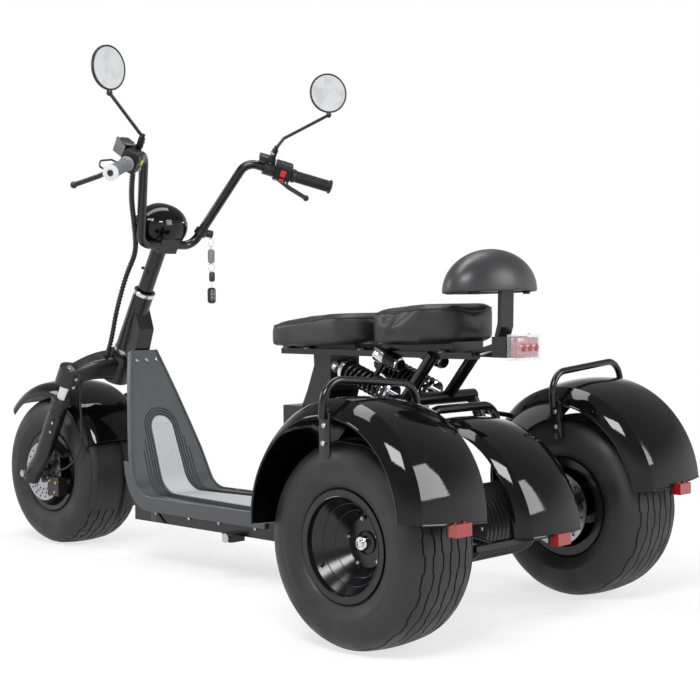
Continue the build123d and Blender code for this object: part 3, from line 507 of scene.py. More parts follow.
class Shape:
    """A mesh under construction, its points in millimetres, put in place as they are added."""

    def __init__(self, place: Callable[..., Vector] = at) -> None:
        """Starts an empty mesh whose points go through place.

        Args:
            place: turns x, y and z in millimetres into a point of the frame.
        """
        self.place = place
        self.points: list[Vector] = []
        self.faces: list[tuple[int, ...]] = []

    def skin(
        self, rows: Sequence[Sequence[Point]], ring: bool = True, loop: bool = False, caps: bool = True
    ) -> Shape:
        """Stretches faces over rows of points.

        Args:
            rows: the rows, all of one length.
            ring: whether each row closes on itself.
            loop: whether the last row joins the first.
            caps: whether open ends are closed with one face each.

        Returns:
            The shape itself.
        """
        first, count, rank = len(self.points), len(rows[0]), len(rows)
        for row in rows:
            self.points += [self.place(*point) for point in row]
        for i in range(rank if loop else rank - 1):
            low, high = first + i * count, first + (i + 1) % rank * count
            for j in range(count if ring else count - 1):
                k = (j + 1) % count
                self.faces.append((low + j, low + k, high + k, high + j))
        if caps and ring and not loop:
            self.faces.append(tuple(range(first, first + count)))
            last = first + (rank - 1) * count
            self.faces.append(tuple(range(last, last + count)))
        return self

    def tube(
        self, path: Sequence[Point], radius: float | Sequence[float], sides: int = 12, loop: bool = False
    ) -> Shape:
        """A round bar along a line.

        Args:
            path: the line's points.
            radius: one radius, or one for each point.
            sides: corners of its section.
            loop: whether the line closes.

        Returns:
            The shape itself.
        """
        line = [Vector(point) for point in path]
        radii = radius if isinstance(radius, (list, tuple)) else [radius] * len(line)
        count = len(line)
        rows, normal = [], None
        for i, here in enumerate(line):
            before = line[i - 1] if i or loop else here
            after = line[(i + 1) % count] if i < count - 1 or loop else here
            way = (after - before).normalized()
            if normal is None:
                normal = way.orthogonal().normalized()
            normal = (normal - way * normal.dot(way)).normalized()
            side = way.cross(normal)
            rows.append([here + normal * a + side * b for a, b in circle(radii[i], sides)])
        return self.skin(rows, loop=loop)

    def turn(
        self, profile: Sequence[Point], centre: Point, way: Point, steps: int = 40, loop: bool = False
    ) -> Shape:
        """Turns a profile about an axis.

        Args:
            profile: points as (radius, distance along the axis).
            centre: where the distance is zero.
            way: the axis.
            steps: pieces round.
            loop: whether the profile closes on itself.

        Returns:
            The shape itself.
        """
        axis, middle = Vector(way).normalized(), Vector(centre)
        across = axis.orthogonal().normalized()
        side = axis.cross(across)
        rows = []
        for radius, along in profile:
            rows.append([middle + axis * along + across * a + side * b for a, b in circle(radius, steps)])
        return self.skin(rows, loop=loop)

    def slab(
        self, outline: Sequence[Point], centre: Point, across: Point, up: Point, thickness: float
    ) -> Shape:
        """A flat plate, its outline drawn along across and up, half its thickness on each side of centre.

        Args:
            outline: the plate's corners.
            centre: its middle.
            across: the outline's first direction.
            up: its second.
            thickness: how thick the plate is.

        Returns:
            The shape itself.
        """
        x, y, middle = Vector(across).normalized(), Vector(up).normalized(), Vector(centre)
        lift = x.cross(y) * (thickness / 2)
        rows = [[middle + x * a + y * b + off for a, b in outline] for off in (-lift, lift)]
        return self.skin(rows)

    def block(self, centre: Point, size: Point, across: Point = (1, 0, 0), up: Point = (0, 1, 0)) -> Shape:
        """A box about its centre, its size along across, up and their normal.

        Args:
            centre: its middle.
            size: its three sides.
            across: the direction of the first side.
            up: that of the second.

        Returns:
            The shape itself.
        """
        a, b, thick = size
        outline = [(-a / 2, -b / 2), (a / 2, -b / 2), (a / 2, b / 2), (-a / 2, b / 2)]
        return self.slab(outline, centre, across, up, thick)

    def build(
        self, name: str, finish: bpy.types.Material, body: Body, bevel: float = 0.0, sharp: float = 38.0
    ) -> bpy.types.Object:
        """Makes the piece.

        Args:
            name: its name.
            finish: its material.
            body: what it moves with.
            bevel: rounding of its sharp edges, in millimetres.
            sharp: the angle in degrees past which an edge is sharp.

        Returns:
            The piece.
        """
        mesh = bpy.data.meshes.new(name)
        mesh.from_pydata(self.points, [], self.faces)
        soften(mesh, bevel, sharp)
        return ride(mesh, name, finish, body)


class Growth(Tree):
    """A Geometry Nodes tree with named sizes, whose result becomes a plain mesh."""

    prefix = "GeometryNode"

    def __init__(self, name: str) -> None:
        """Starts an empty tree.

        Args:
            name: the tree's name.
        """
        super().__init__(bpy.data.node_groups.new(name, "GeometryNodeTree"))
        for way in ("INPUT", "OUTPUT"):
            self.tree.interface.new_socket("Geometry", in_out=way, socket_type="NodeSocketGeometry")
        self.start = self.node("NodeGroupInput")
        self.keys: dict[str, str] = {}
        self.finish = self.size("Finish", None, "NodeSocketMaterial")

    def size(self, name: str, default: object, kind: str = "NodeSocketFloat") -> bpy.types.NodeSocket:
        """Adds a named input.

        Args:
            name: what it is called.
            default: its value where none is given.
            kind: its socket's type.

        Returns:
            The socket to link from.
        """
        made = self.tree.interface.new_socket(name, in_out="INPUT", socket_type=kind)
        if default is not None:
            made.default_value = default
        self.keys[name] = made.identifier
        return self.start.outputs[name]

    def field(self, name: str) -> bpy.types.NodeSocket:
        """A named vector of the points that the tree is given."""
        return self.add("InputNamedAttribute", {"data_type": "FLOAT_VECTOR"}, {"Name": name})

    def maths(self, operation: str, *values: object) -> bpy.types.NodeSocket:
        """A Math node's result."""
        return self.add("ShaderNodeMath", {"operation": operation}, dict(enumerate(values)))

    def given_line(self) -> bpy.types.NodeSocket:
        """The line that the tree is given, as a curve."""
        return self.add("MeshToCurve", sockets={0: self.start.outputs[0]})

    def hoop(self, steps: int, radius: object) -> bpy.types.NodeSocket:
        """A circle as a curve."""
        return self.add("CurvePrimitiveCircle", sockets={"Resolution": steps, "Radius": radius})

    def sweep(self, curve: bpy.types.NodeSocket, section: bpy.types.NodeSocket) -> bpy.types.NodeSocket:
        """A section carried along a curve, closed at its ends."""
        return self.add("CurveToMesh", sockets={"Curve": curve, "Profile Curve": section, "Fill Caps": True})

    def end(self, geometry: bpy.types.NodeSocket) -> Growth:
        """Ends the tree in real geometry with the finish set.

        Args:
            geometry: what the tree has made.

        Returns:
            The tree itself.
        """
        real = self.add("RealizeInstances", sockets={"Geometry": geometry})
        dressed = self.add("SetMaterial", sockets={"Geometry": real, "Material": self.finish})
        self.node("NodeGroupOutput", sockets={"Geometry": dressed})
        return self

    def grow(
        self,
        name: str,
        finish: bpy.types.Material,
        body: Body,
        points: Sequence[Vector] = (),
        joined: bool = False,
        fields: dict[str, Sequence[Point]] | None = None,
        turn: Matrix | None = None,
        sharp: float = 38.0,
        **sizes: object,
    ) -> bpy.types.Object:
        """Runs the tree and keeps its result as one plain piece.

        Args:
            name: the piece's name.
            finish: its material.
            body: what it moves with.
            points: what the tree starts from, in the frame's metres.
            joined: whether edges join the points into a line.
            fields: vectors for each point, by name.
            turn: where the result goes, when the tree works about its own centre.
            sharp: the angle in degrees past which an edge stays crisp.
            sizes: the tree's inputs by name, with _ for a space.

        Returns:
            The piece.
        """
        seed = bpy.data.meshes.new(name + "_points")
        seed.from_pydata(list(points), [(i, i + 1) for i in range(len(points) - 1)] if joined else [], [])
        for field, vectors in (fields or {}).items():
            column = seed.attributes.new(field, "FLOAT_VECTOR", "POINT")
            column.data.foreach_set("vector", [float(v) for vector in vectors for v in vector])
        holder = put_in_scene(name + "_grown", seed)
        modifier = holder.modifiers.new("growth", "NODES")
        modifier.node_group = self.tree
        modifier[self.keys["Finish"]] = finish
        for key, value in sizes.items():
            modifier[self.keys[key.replace("_", " ")]] = value
        mesh = settle(holder)
        bpy.data.objects.remove(holder)
        for field in fields or {}:
            if field in mesh.attributes:
                mesh.attributes.remove(mesh.attributes[field])
        if turn:
            mesh.transform(turn)
        mesh.name = name
        soften(mesh, 0.0, sharp)
        return ride(mesh, name, finish, body)


class Head(Enum):
    """What is put at each fixing."""

    HEX = 6
    ROUND = 14
    BLOCK = 4


class Fixings:
    """Screws, nuts, studs and small blocks, placed by the dozen."""

    def __init__(self, head: Head) -> None:
        """Builds the tree for one kind of head.

        Args:
            head: the kind.
        """
        grow = Growth(head.name.lower() + "_heads")
        if head is Head.BLOCK:
            shape = grow.add("MeshCube", sockets={"Size": (1.0, 1.0, 1.0)})
        else:
            body = grow.add("MeshCylinder", sockets={"Vertices": head.value, "Radius": 1.0, "Depth": 1.0})
            crown = {"Vertices": head.value, "Radius Top": 0.55, "Radius Bottom": 0.86, "Depth": 0.28}
            top = {"Geometry": grow.add("MeshCone", sockets=crown), "Translation": (0.0, 0.0, 0.5)}
            shape = grow.add("JoinGeometry", sockets={0: [body, grow.add("Transform", sockets=top)]})
        turned = grow.add("FunctionNodeEulerToRotation", sockets={"Euler": grow.field("turn")})
        sockets = {"Points": grow.start.outputs[0], "Instance": shape, "Rotation": turned}
        sockets["Scale"] = grow.field("extent")
        self.growth = grow.end(grow.add("InstanceOnPoints", sockets=sockets))

    def place(
        self,
        name: str,
        finish: bpy.types.Material,
        body: Body,
        spots: Sequence[tuple[Vector, Vector, Point]],
    ) -> bpy.types.Object:
        """Puts one head at each spot.

        Args:
            name: the piece's name.
            finish: its material.
            body: what it moves with.
            spots: for each head its place in the frame, the way it points, and its half width, half
                depth and height in millimetres; a block's are its whole sides.

        Returns:
            All the heads as one piece.
        """
        turns = [way.to_track_quat("Z", "Y").to_euler() for _, way, _ in spots]
        extents = [[side / 1000.0 for side in size] for _, _, size in spots]
        points, fields = [spot for spot, _, _ in spots], {"turn": turns, "extent": extents}
        return self.growth.grow(name, finish, body, points, fields=fields, sharp=30.0)


def coil_tree() -> Growth:
    """A coil spring about its own upright axis.

    Returns:
        The tree.
    """
    grow = Growth("coil_spring")
    turns, radius = grow.size("Turns", 8.0), grow.size("Radius", 0.024)
    height, wire = grow.size("Height", 0.13), grow.size("Wire", 0.003)
    sockets = {"Resolution": 28, "Rotations": turns, "Height": height}
    sockets.update({"Start Radius": radius, "End Radius": radius})
    return grow.end(grow.sweep(grow.add("CurveSpiral", sockets=sockets), grow.hoop(10, wire)))


def drilled_tree() -> Growth:
    """A brake disc with three rows of holes, flat about its own centre.

    Returns:
        The tree.
    """
    grow = Growth("drilled_disc")
    outer, inner = grow.size("Outer", 0.086), grow.size("Inner", 0.034)
    thick, hole = grow.size("Thickness", 0.004), grow.size("Hole", 0.0034)
    count = grow.size("Holes", 20, "NodeSocketInt")
    rows = []
    for row, share in enumerate((0.62, 0.75, 0.88)):
        sockets = {"Vertices": count, "Radius": grow.maths("MULTIPLY", outer, share)}
        ring = grow.add("MeshCircle", {"fill_type": "NONE"}, sockets)
        angle = grow.add("ShaderNodeCombineXYZ", sockets={"Z": 0.105 * row})
        rows.append(grow.add("Transform", sockets={"Geometry": ring, "Rotation": angle}))
    points = grow.add("JoinGeometry", sockets={0: rows})
    holes = grow.add("InstanceOnPoints", sockets={"Points": points, "Instance": grow.hoop(10, hole)})
    real = grow.add("RealizeInstances", sockets={"Geometry": holes})
    curves = grow.add("JoinGeometry", sockets={0: [grow.hoop(96, outer), grow.hoop(48, inner), real]})
    flat = grow.add("FillCurve", sockets={"Curve": curves})
    lift = grow.add("ShaderNodeCombineXYZ", sockets={"Z": 1.0})
    sockets = {"Mesh": flat, "Offset": lift, "Offset Scale": thick, "Individual": False}
    raised = grow.add("ExtrudeMesh", sockets=sockets)
    whole = grow.add("JoinGeometry", sockets={0: [raised, grow.add("FlipFaces", sockets={"Mesh": flat})]})
    return grow.end(grow.add("MergeByDistance", sockets={0: whole}))


def wrap_tree() -> Growth:
    """A strip wound round a line.

    Returns:
        The tree.
    """
    grow = Growth("wound_strip")
    pitch, reach, wire = grow.size("Pitch", 0.012), grow.size("Reach", 0.006), grow.size("Wire", 0.0015)
    fine = grow.add("ResampleCurve", {"mode": "LENGTH"}, {"Curve": grow.given_line(), "Length": 0.0011})
    along = grow.node("SplineParameter").outputs["Length"]
    angle = grow.maths("MULTIPLY", grow.maths("DIVIDE", along, pitch), math.tau)
    sockets = {"Vector": grow.add("InputNormal"), "Axis": grow.add("InputTangent"), "Angle": angle}
    turned = grow.add("ShaderNodeVectorRotate", {"rotation_type": "AXIS_ANGLE"}, sockets)
    shift = grow.add("ShaderNodeVectorMath", {"operation": "SCALE"}, {0: turned, "Scale": reach})
    wound = grow.add("SetPosition", sockets={"Geometry": fine, "Offset": shift})
    return grow.end(grow.sweep(wound, grow.hoop(6, wire)))


def ring_tree() -> Growth:
    """Rings threaded on a line at even distances.

    Returns:
        The tree.
    """
    grow = Growth("threaded_rings")
    count = grow.size("Count", 10, "NodeSocketInt")
    radius, wire = grow.size("Radius", 0.016), grow.size("Wire", 0.001)
    spots = grow.node("CurveToPoints", sockets={"Curve": grow.given_line(), "Count": count})
    ring = grow.sweep(grow.hoop(32, radius), grow.hoop(6, wire))
    sockets = {"Points": spots.outputs[0], "Instance": ring, "Rotation": spots.outputs["Rotation"]}
    return grow.end(grow.add("InstanceOnPoints", sockets=sockets))


# ------------------------------------------------------------------ finishes
@dataclass(frozen=True)
class Finish:
    """What every finish has: a name and a base colour."""

    name: str
    colour: tuple[float, float, float]

    def tone(self, gain: float = 1.0, lift: float = 0.0) -> tuple[float, float, float, float]:
        """The base colour, scaled and lifted."""
        return rgb(*[c * gain + lift for c in self.colour])


@dataclass(frozen=True)
class Paint(Finish):
    """Sprayed or powder-coated colour with a slight peel, fine dust and uneven gloss."""

    gloss: float = 0.08
    peel: float = 0.00006
    peel_scale: float = 260.0
    specular: float = 0.5
    dust: float = 0.01

    def build(self) -> bpy.types.Material:
        """Makes the material.

        Returns:
            The material.
        """
        shader = Shader(self.name)
        smudge = shader.noise(9.0, 4.0)
        speck = shader.noise(900.0, 1.0).ramp(0.66, 0.78)
        base, dusty = self.tone(), self.tone(lift=self.dust)
        colour = shader.mix(speck * 0.5 + smudge.ramp(0.45, 0.75) * 0.25, base, dusty)
        rough = smudge.ramp(0.35, 0.75, self.gloss, self.gloss * 1.6 + 0.02)
        normal = shader.bump(shader.noise(self.peel_scale, 2.0), 0.5, self.peel)
        return shader.surface(
            Base_Color=colour, Roughness=rough, Normal=normal, Specular_IOR_Level=self.specular
        )


@dataclass(frozen=True)
class Metal(Finish):
    """Bare or plated metal, with fine scratches along one direction."""

    roughness: float = 0.12
    brush: tuple[float, float, float] = (60.0, 60.0, 60.0)
    scratch: float = 0.00002

    def build(self) -> bpy.types.Material:
        """Makes the material.

        Returns:
            The material.
        """
        shader = Shader(self.name)
        lines = shader.noise(12.0, 5.0, shader.stretched(self.brush))
        stain = shader.noise(30.0, 3.0)
        dark = self.tone(0.72)
        colour = shader.mix(stain.ramp(0.45, 0.75) * 0.6, self.tone(), dark)
        rough = lines.ramp(0.3, 0.7, self.roughness * 0.6, self.roughness * 1.5)
        normal = shader.bump(lines, 0.4, self.scratch)
        return shader.surface(Base_Color=colour, Metallic=1.0, Roughness=rough, Normal=normal)


@dataclass(frozen=True)
class Casting(Finish):
    """Painted cast metal with a pebbled skin and bright worn specks."""

    roughness: float = 0.32

    def build(self) -> bpy.types.Material:
        """Makes the material.

        Returns:
            The material.
        """
        shader = Shader(self.name)
        grain = shader.cells(420.0, "SMOOTH_F1")
        smudge = shader.noise(14.0, 4.0)
        wear = shader.noise(130.0, 3.0).ramp(0.70, 0.78)
        worn = self.tone(2.0, 0.02)
        colour = shader.mix(wear * 0.6, self.tone(), worn)
        rough = smudge.ramp(0.3, 0.7, self.roughness * 0.75, self.roughness * 1.25)
        return shader.surface(Base_Color=colour, Roughness=rough, Normal=shader.bump(grain, 0.35, 0.00025))


@dataclass(frozen=True)
class Rubber(Finish):
    """Moulded rubber: dull, slightly dusty in cloudy patches, with a fine skin."""

    roughness: float = 0.62
    dust: float = 0.035
    grain_scale: float = 700.0

    def build(self) -> bpy.types.Material:
        """Makes the material.

        Returns:
            The material.
        """
        shader = Shader(self.name)
        cloud = shader.noise(16.0, 5.0)
        fine = shader.noise(self.grain_scale, 2.0)
        base, dusty = self.tone(), self.tone(lift=self.dust)
        colour = shader.mix(cloud.ramp(0.42, 0.72) * 0.55 + fine.ramp(0.55, 0.8) * 0.2, base, dusty)
        rough = cloud.ramp(0.3, 0.7, self.roughness - 0.12, self.roughness + 0.1)
        return shader.surface(Base_Color=colour, Roughness=rough, Normal=shader.bump(fine, 0.4, 0.00018))


@dataclass(frozen=True)
class Moulded(Finish):
    """Grained plastic."""

    roughness: float = 0.45
    grain: float = 0.00018
    grain_scale: float = 520.0
    lift: float = 0.014

    def build(self) -> bpy.types.Material:
        """Makes the material.

        Returns:
            The material.
        """
        shader = Shader(self.name)
        grain = shader.cells(self.grain_scale, "SMOOTH_F1")
        cloud = shader.noise(11.0, 4.0)
        lighter = self.tone(lift=self.lift)
        colour = shader.mix(cloud.ramp(0.4, 0.75) * 0.7, self.tone(), lighter)
        rough = cloud.ramp(0.3, 0.7, self.roughness - 0.08, self.roughness + 0.08)
        return shader.surface(Base_Color=colour, Roughness=rough, Normal=shader.bump(grain, 0.3, self.grain))


@dataclass(frozen=True)
class Leatherette(Finish):
    """Coated seat fabric with a pebbled grain, finer creases and a soft sheen."""

    roughness: float = 0.46

    def build(self) -> bpy.types.Material:
        """Makes the material.

        Returns:
            The material.
        """
        shader = Shader(self.name)
        warp = shader.noise(120.0, 2.0)
        pebble = shader.cells(640.0, "F1")
        crease = shader.cells(260.0, "DISTANCE_TO_EDGE").ramp(0.0, 0.12)
        cloud = shader.noise(8.0, 4.0)
        height = pebble * 0.6 + crease * 0.5 + warp * 0.3
        lighter = self.tone(1.7, 0.006)
        colour = shader.mix(cloud.ramp(0.35, 0.75) * 0.6, self.tone(), lighter)
        rough = cloud.ramp(0.3, 0.7, self.roughness - 0.06, self.roughness + 0.08)
        return shader.surface(Base_Color=colour, Roughness=rough, Normal=shader.bump(height, 0.35, 0.0003))


@dataclass(frozen=True)
class Lens(Finish):
    """Coloured clear plastic over a prismatic grid."""

    cell: float = 260.0
    roughness: float = 0.12
    depth: float = 0.0008

    def build(self) -> bpy.types.Material:
        """Makes the material.

        Returns:
            The material.
        """
        shader = Shader(self.name)
        prism = shader.cells(self.cell, "F1")
        dark = self.tone(0.45)
        colour = shader.mix(prism.ramp(0.1, 0.6), self.tone(), dark)
        normal = shader.bump(prism, 0.5, self.depth)
        return shader.surface(
            Base_Color=colour, Roughness=self.roughness, Normal=normal, Coat_Weight=1.0, Coat_Roughness=0.05
        )


@dataclass(frozen=True)
class ClearGlass(Finish):
    """Clear moulded cover: mostly see-through, with faint ribs."""

    colour: tuple[float, float, float] = (0.92, 0.94, 0.96)
    alpha: float = 0.28
    rib_scale: float = 120.0

    def build(self) -> bpy.types.Material:
        """Makes the material.

        Returns:
            The material.
        """
        shader = Shader(self.name)
        ribs = shader.noise(self.rib_scale, 1.0)
        colour = shader.mix(ribs.ramp(0.3, 0.7), self.tone(), self.tone(0.9))
        alpha = ribs.ramp(0.3, 0.7, self.alpha, self.alpha + 0.08)
        normal = shader.bump(ribs, 0.2, 0.0004)
        return shader.surface(Base_Color=colour, Roughness=0.05, Alpha=alpha, Normal=normal)


class Finishes:
    """Every finish, built once."""

    def __init__(self) -> None:
        """Builds the materials by name."""
        chosen = [
            Paint("gloss_black", (0.003, 0.003, 0.0034), gloss=0.04, specular=0.36, dust=0.002),
            Paint("tube_black", (0.006, 0.006, 0.007), gloss=0.16, peel=0.0001, peel_scale=500.0, dust=0.004),
            Casting("cast_black", (0.010, 0.010, 0.011)),
            Casting("spring_black", (0.006, 0.006, 0.007), 0.22),
            Metal("chrome", (0.72, 0.72, 0.74), 0.08),
            Metal("steel", (0.42, 0.42, 0.44), 0.26, (4.0, 90.0, 4.0)),
            Metal("bolt", (0.50, 0.50, 0.52), 0.22),
            Metal("brass", (0.46, 0.36, 0.20), 0.25),
            Paint("rim_black", (0.005, 0.005, 0.006), gloss=0.14, peel=0.0001, dust=0.003),
            # A lighter copy of the rim paint for the thin rings on the rim's steps: the rings are real beads,
            # and their lighter colour is a painted highlight.
            Paint("rim_painted_highlight", (0.016, 0.016, 0.017), gloss=0.1, dust=0.003),
            Rubber("tyre_rubber", (0.016, 0.016, 0.017), 0.55, 0.008),
            Rubber("soft_rubber", (0.012, 0.012, 0.013), 0.6, 0.01),
            Moulded("shield_grey", (0.060, 0.061, 0.066), 0.42, lift=0.01),
            Moulded("shield_dark", (0.012, 0.012, 0.013), 0.5, lift=0.003),
            Moulded("pad_grey", (0.46, 0.465, 0.475), 0.55, 0.0003, 260.0, 0.04),
            Leatherette("seat_skin", (0.013, 0.013, 0.014)),
            Moulded("rest_plastic", (0.030, 0.030, 0.032), 0.4, lift=0.006),
            Moulded("black_plastic", (0.008, 0.008, 0.009), 0.36, lift=0.004),
            Moulded("cable_black", (0.006, 0.006, 0.007), 0.4, lift=0.003),
            Rubber("grip_grey", (0.20, 0.20, 0.21), 0.5, 0.03),
            Rubber("grip_black", (0.010, 0.010, 0.011), 0.5, 0.006),
            Metal("mirror_silver", (0.80, 0.81, 0.83), 0.02, scratch=0.0),
            Lens("red_reflector", (0.56, 0.006, 0.008), 900.0, 0.16, 0.0003),
            Lens("red_lamp", (0.62, 0.05, 0.09), 180.0),
            Moulded("button_lime", (0.42, 0.52, 0.05), 0.4, 0.0001, lift=0.03),
            Moulded("button_red", (0.62, 0.02, 0.02), 0.4, 0.0001, lift=0.03),
            Moulded("button_grey", (0.25, 0.25, 0.26), 0.4, 0.0001, lift=0.03),
            Moulded("frosted", (0.70, 0.71, 0.72), 0.3, 0.0001, lift=0.03),
            # Pale colour for the small vent blocks on the headlight housing: a painted highlight.
            Moulded("painted_highlight_pale", (0.75, 0.75, 0.76), 0.4, 0.0001, lift=0.03),
            ClearGlass("clear_cover", alpha=0.24),
            ClearGlass("headlamp_glass", alpha=0.3),
            Casting("motor_casting", (0.020, 0.020, 0.021), 0.4),
        ]
        self.made = {finish.name: finish.build() for finish in chosen}

    def __getitem__(self, name: str) -> bpy.types.Material:
        """The material of that name."""
        return self.made[name]


# ------------------------------------------------------------------ studio
@dataclass
class Studio:
    """Camera, lamps, floor and backdrop."""

    eye: tuple[float, float, float] = (-2123.87, 2572.72, 734.82)
    yaw: float = -46.739
    pitch: float = -1.751
    roll: float = -0.456
    focal_px: float = 1476.186
    principal: tuple[float, float] = (389.122, 338.989)
    frame_px: float = 700.0
    sensor: float = 36.0
    ambient: float = 0.34
    horizon: float = 1.0
    ceiling: float = 0.3
    floor_near: float = 1.4
    floor_far: float = 3.2
    floor_half: float = 40.0
    floor_white: float = 0.72

    def camera(self) -> bpy.types.Object:
        """Makes the camera and sets it as the scene's.

        Returns:
            The camera.
        """
        data = bpy.data.cameras.new("camera")
        data.sensor_width = self.sensor
        data.lens = self.focal_px * self.sensor / self.frame_px
        data.shift_x = (self.frame_px / 2 - self.principal[0]) / self.frame_px
        data.shift_y = (self.principal[1] - self.frame_px / 2) / self.frame_px
        data.clip_start, data.clip_end = 0.05, 60.0
        camera = put_in_scene("camera", data)
        yaw, pitch, roll = (math.radians(a) for a in (self.yaw, self.pitch, self.roll))
        forward = Vector((math.cos(yaw) * math.cos(pitch), math.sin(yaw) * math.cos(pitch), math.sin(pitch)))
        right = forward.cross(UP).normalized()
        up = right.cross(forward)
        side = right * math.cos(roll) + up * math.sin(roll)
        top = up * math.cos(roll) - right * math.sin(roll)
        turn = Matrix((side, top, -forward)).transposed().to_4x4()
        camera.matrix_world = Matrix.Translation(at(*self.eye)) @ turn
        bpy.context.scene.camera = camera
        return camera

    def lamp(self, name: str, place: Point, aim: Point, size: Point, watts: float) -> None:
        """Adds a soft box.

        Args:
            name: the lamp's name.
            place: where it hangs, in metres.
            aim: what it faces, in metres.
            size: its width and height in metres.
            watts: its power.
        """
        data = bpy.data.lights.new(name, "AREA")
        data.shape = "RECTANGLE"
        data.size, data.size_y = size
        data.energy = watts
        turn = (Vector(aim) - Vector(place)).to_track_quat("-Z", "Y").to_matrix().to_4x4()
        put_in_scene(name, data).matrix_world = Matrix.Translation(Vector(place)) @ turn

    def world(self) -> None:
        """A pale surround for the object's light, white where it is seen or mirrored near the horizon."""
        world = bpy.data.worlds.new("surround")
        bpy.context.scene.world = world
        world.use_nodes = True
        tree = Tree(world.node_tree)
        tree.tree.nodes.clear()
        path, place = tree.node("LightPath").outputs, tree.node("TexCoord").outputs["Generated"]
        height = tree.node("SeparateXYZ", sockets={0: place}).outputs[2]
        ramp = {"Value": height, "From Min": 0.05, "From Max": 0.45}
        ramp.update({"To Min": self.horizon, "To Max": self.ceiling})
        mirrored = tree.add("MapRange", {"interpolation_type": "SMOOTHSTEP"}, ramp)
        soft = tree.add("Background", sockets={0: rgb(0.95, 0.97, 1.0), 1: self.ambient})
        glossy = tree.add("Background", sockets={0: rgb(1.0, 1.0, 1.0), 1: mirrored})
        white = tree.add("Background", sockets={0: rgb(1.0, 1.0, 1.0), 1: 1.0})
        first = tree.add("MixShader", sockets={0: path["Is Glossy Ray"], 1: soft, 2: glossy})
        rays = {0: path["Is Camera Ray"], 1: path["Is Transmission Ray"]}
        seen = tree.add("Math", {"operation": "MAXIMUM"}, rays)
        last = tree.add("MixShader", sockets={0: seen, 1: first, 2: white})
        tree.node("OutputWorld", sockets={0: last})

    def floor(self) -> None:
        """A wide white floor that keeps the object's shadow and fades into the white surround."""
        mesh = bpy.data.meshes.new("floor")
        reach = self.floor_half
        corners_at = [(reach * a, reach * b, 0) for a, b in ((-1, -1), (1, -1), (1, 1), (-1, 1))]
        mesh.from_pydata(corners_at, [], [(0, 1, 2, 3)])
        floor = put_in_scene("floor", mesh)
        shader = Shader("floor_white")
        path = shader.node("LightPath")
        seen = shader.value(path, "Is Camera Ray").math("MAXIMUM", shader.value(path, "Is Glossy Ray"))
        seen = seen.math("MAXIMUM", shader.value(path, "Is Transmission Ray"))
        x, y, _ = shader.xyz()
        away = (x * x + y * y) ** 0.5
        share = away.ramp(self.floor_near, self.floor_far, self.floor_white, 1.0) * seen
        matt = shader.add("BsdfDiffuse", sockets={"Color": rgb(0.9, 0.9, 0.9), "Roughness": 1.0})
        white = shader.add("Emission", sockets={"Color": rgb(1.0, 1.0, 1.0), "Strength": 1.0})
        mixed = shader.add("MixShader", sockets={0: share, 1: matt, 2: white})
        shader.tree.links.new(mixed, shader.output.inputs["Surface"])
        mesh.materials.append(shader.material)
        floor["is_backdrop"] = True

    def build(self) -> None:
        """Sets up the whole studio."""
        scene = bpy.context.scene
        scene.view_settings.view_transform = "Standard"
        self.camera()
        self.world()
        self.floor()
        self.lamp("key", (-2.0, 2.4, 3.0), (-0.2, 0.2, 0.4), (1.6, 1.0), 90.0)
        self.lamp("fill", (-3.4, -1.6, 1.9), (-0.4, -0.2, 0.4), (1.2, 1.6), 50.0)
        self.lamp("front", (3.0, 2.4, 2.2), (0.4, 0.0, 0.4), (1.4, 1.4), 50.0)
        self.lamp("top", (0.2, 0.0, 3.4), (0.0, 0.0, 0.4), (3.2, 0.9), 60.0)


# ------------------------------------------------------------------ sub-assemblies
@dataclass
class Kit:
    """What every sub-assembly works with: the frame's nodes, the finishes and the shared trees."""

    nodes: dict[str, bpy.types.Object]
    finishes: Finishes
    hexes: Fixings
    rounds: Fixings
    blocks: Fixings
    coil: Growth
    drilled: Growth
    wrap: Growth
    rings: Growth

    def surface(self, name: str) -> BVHTree:
        """A CAD node's surface, to lay things on."""
        return surface_of(self.nodes[name].data)


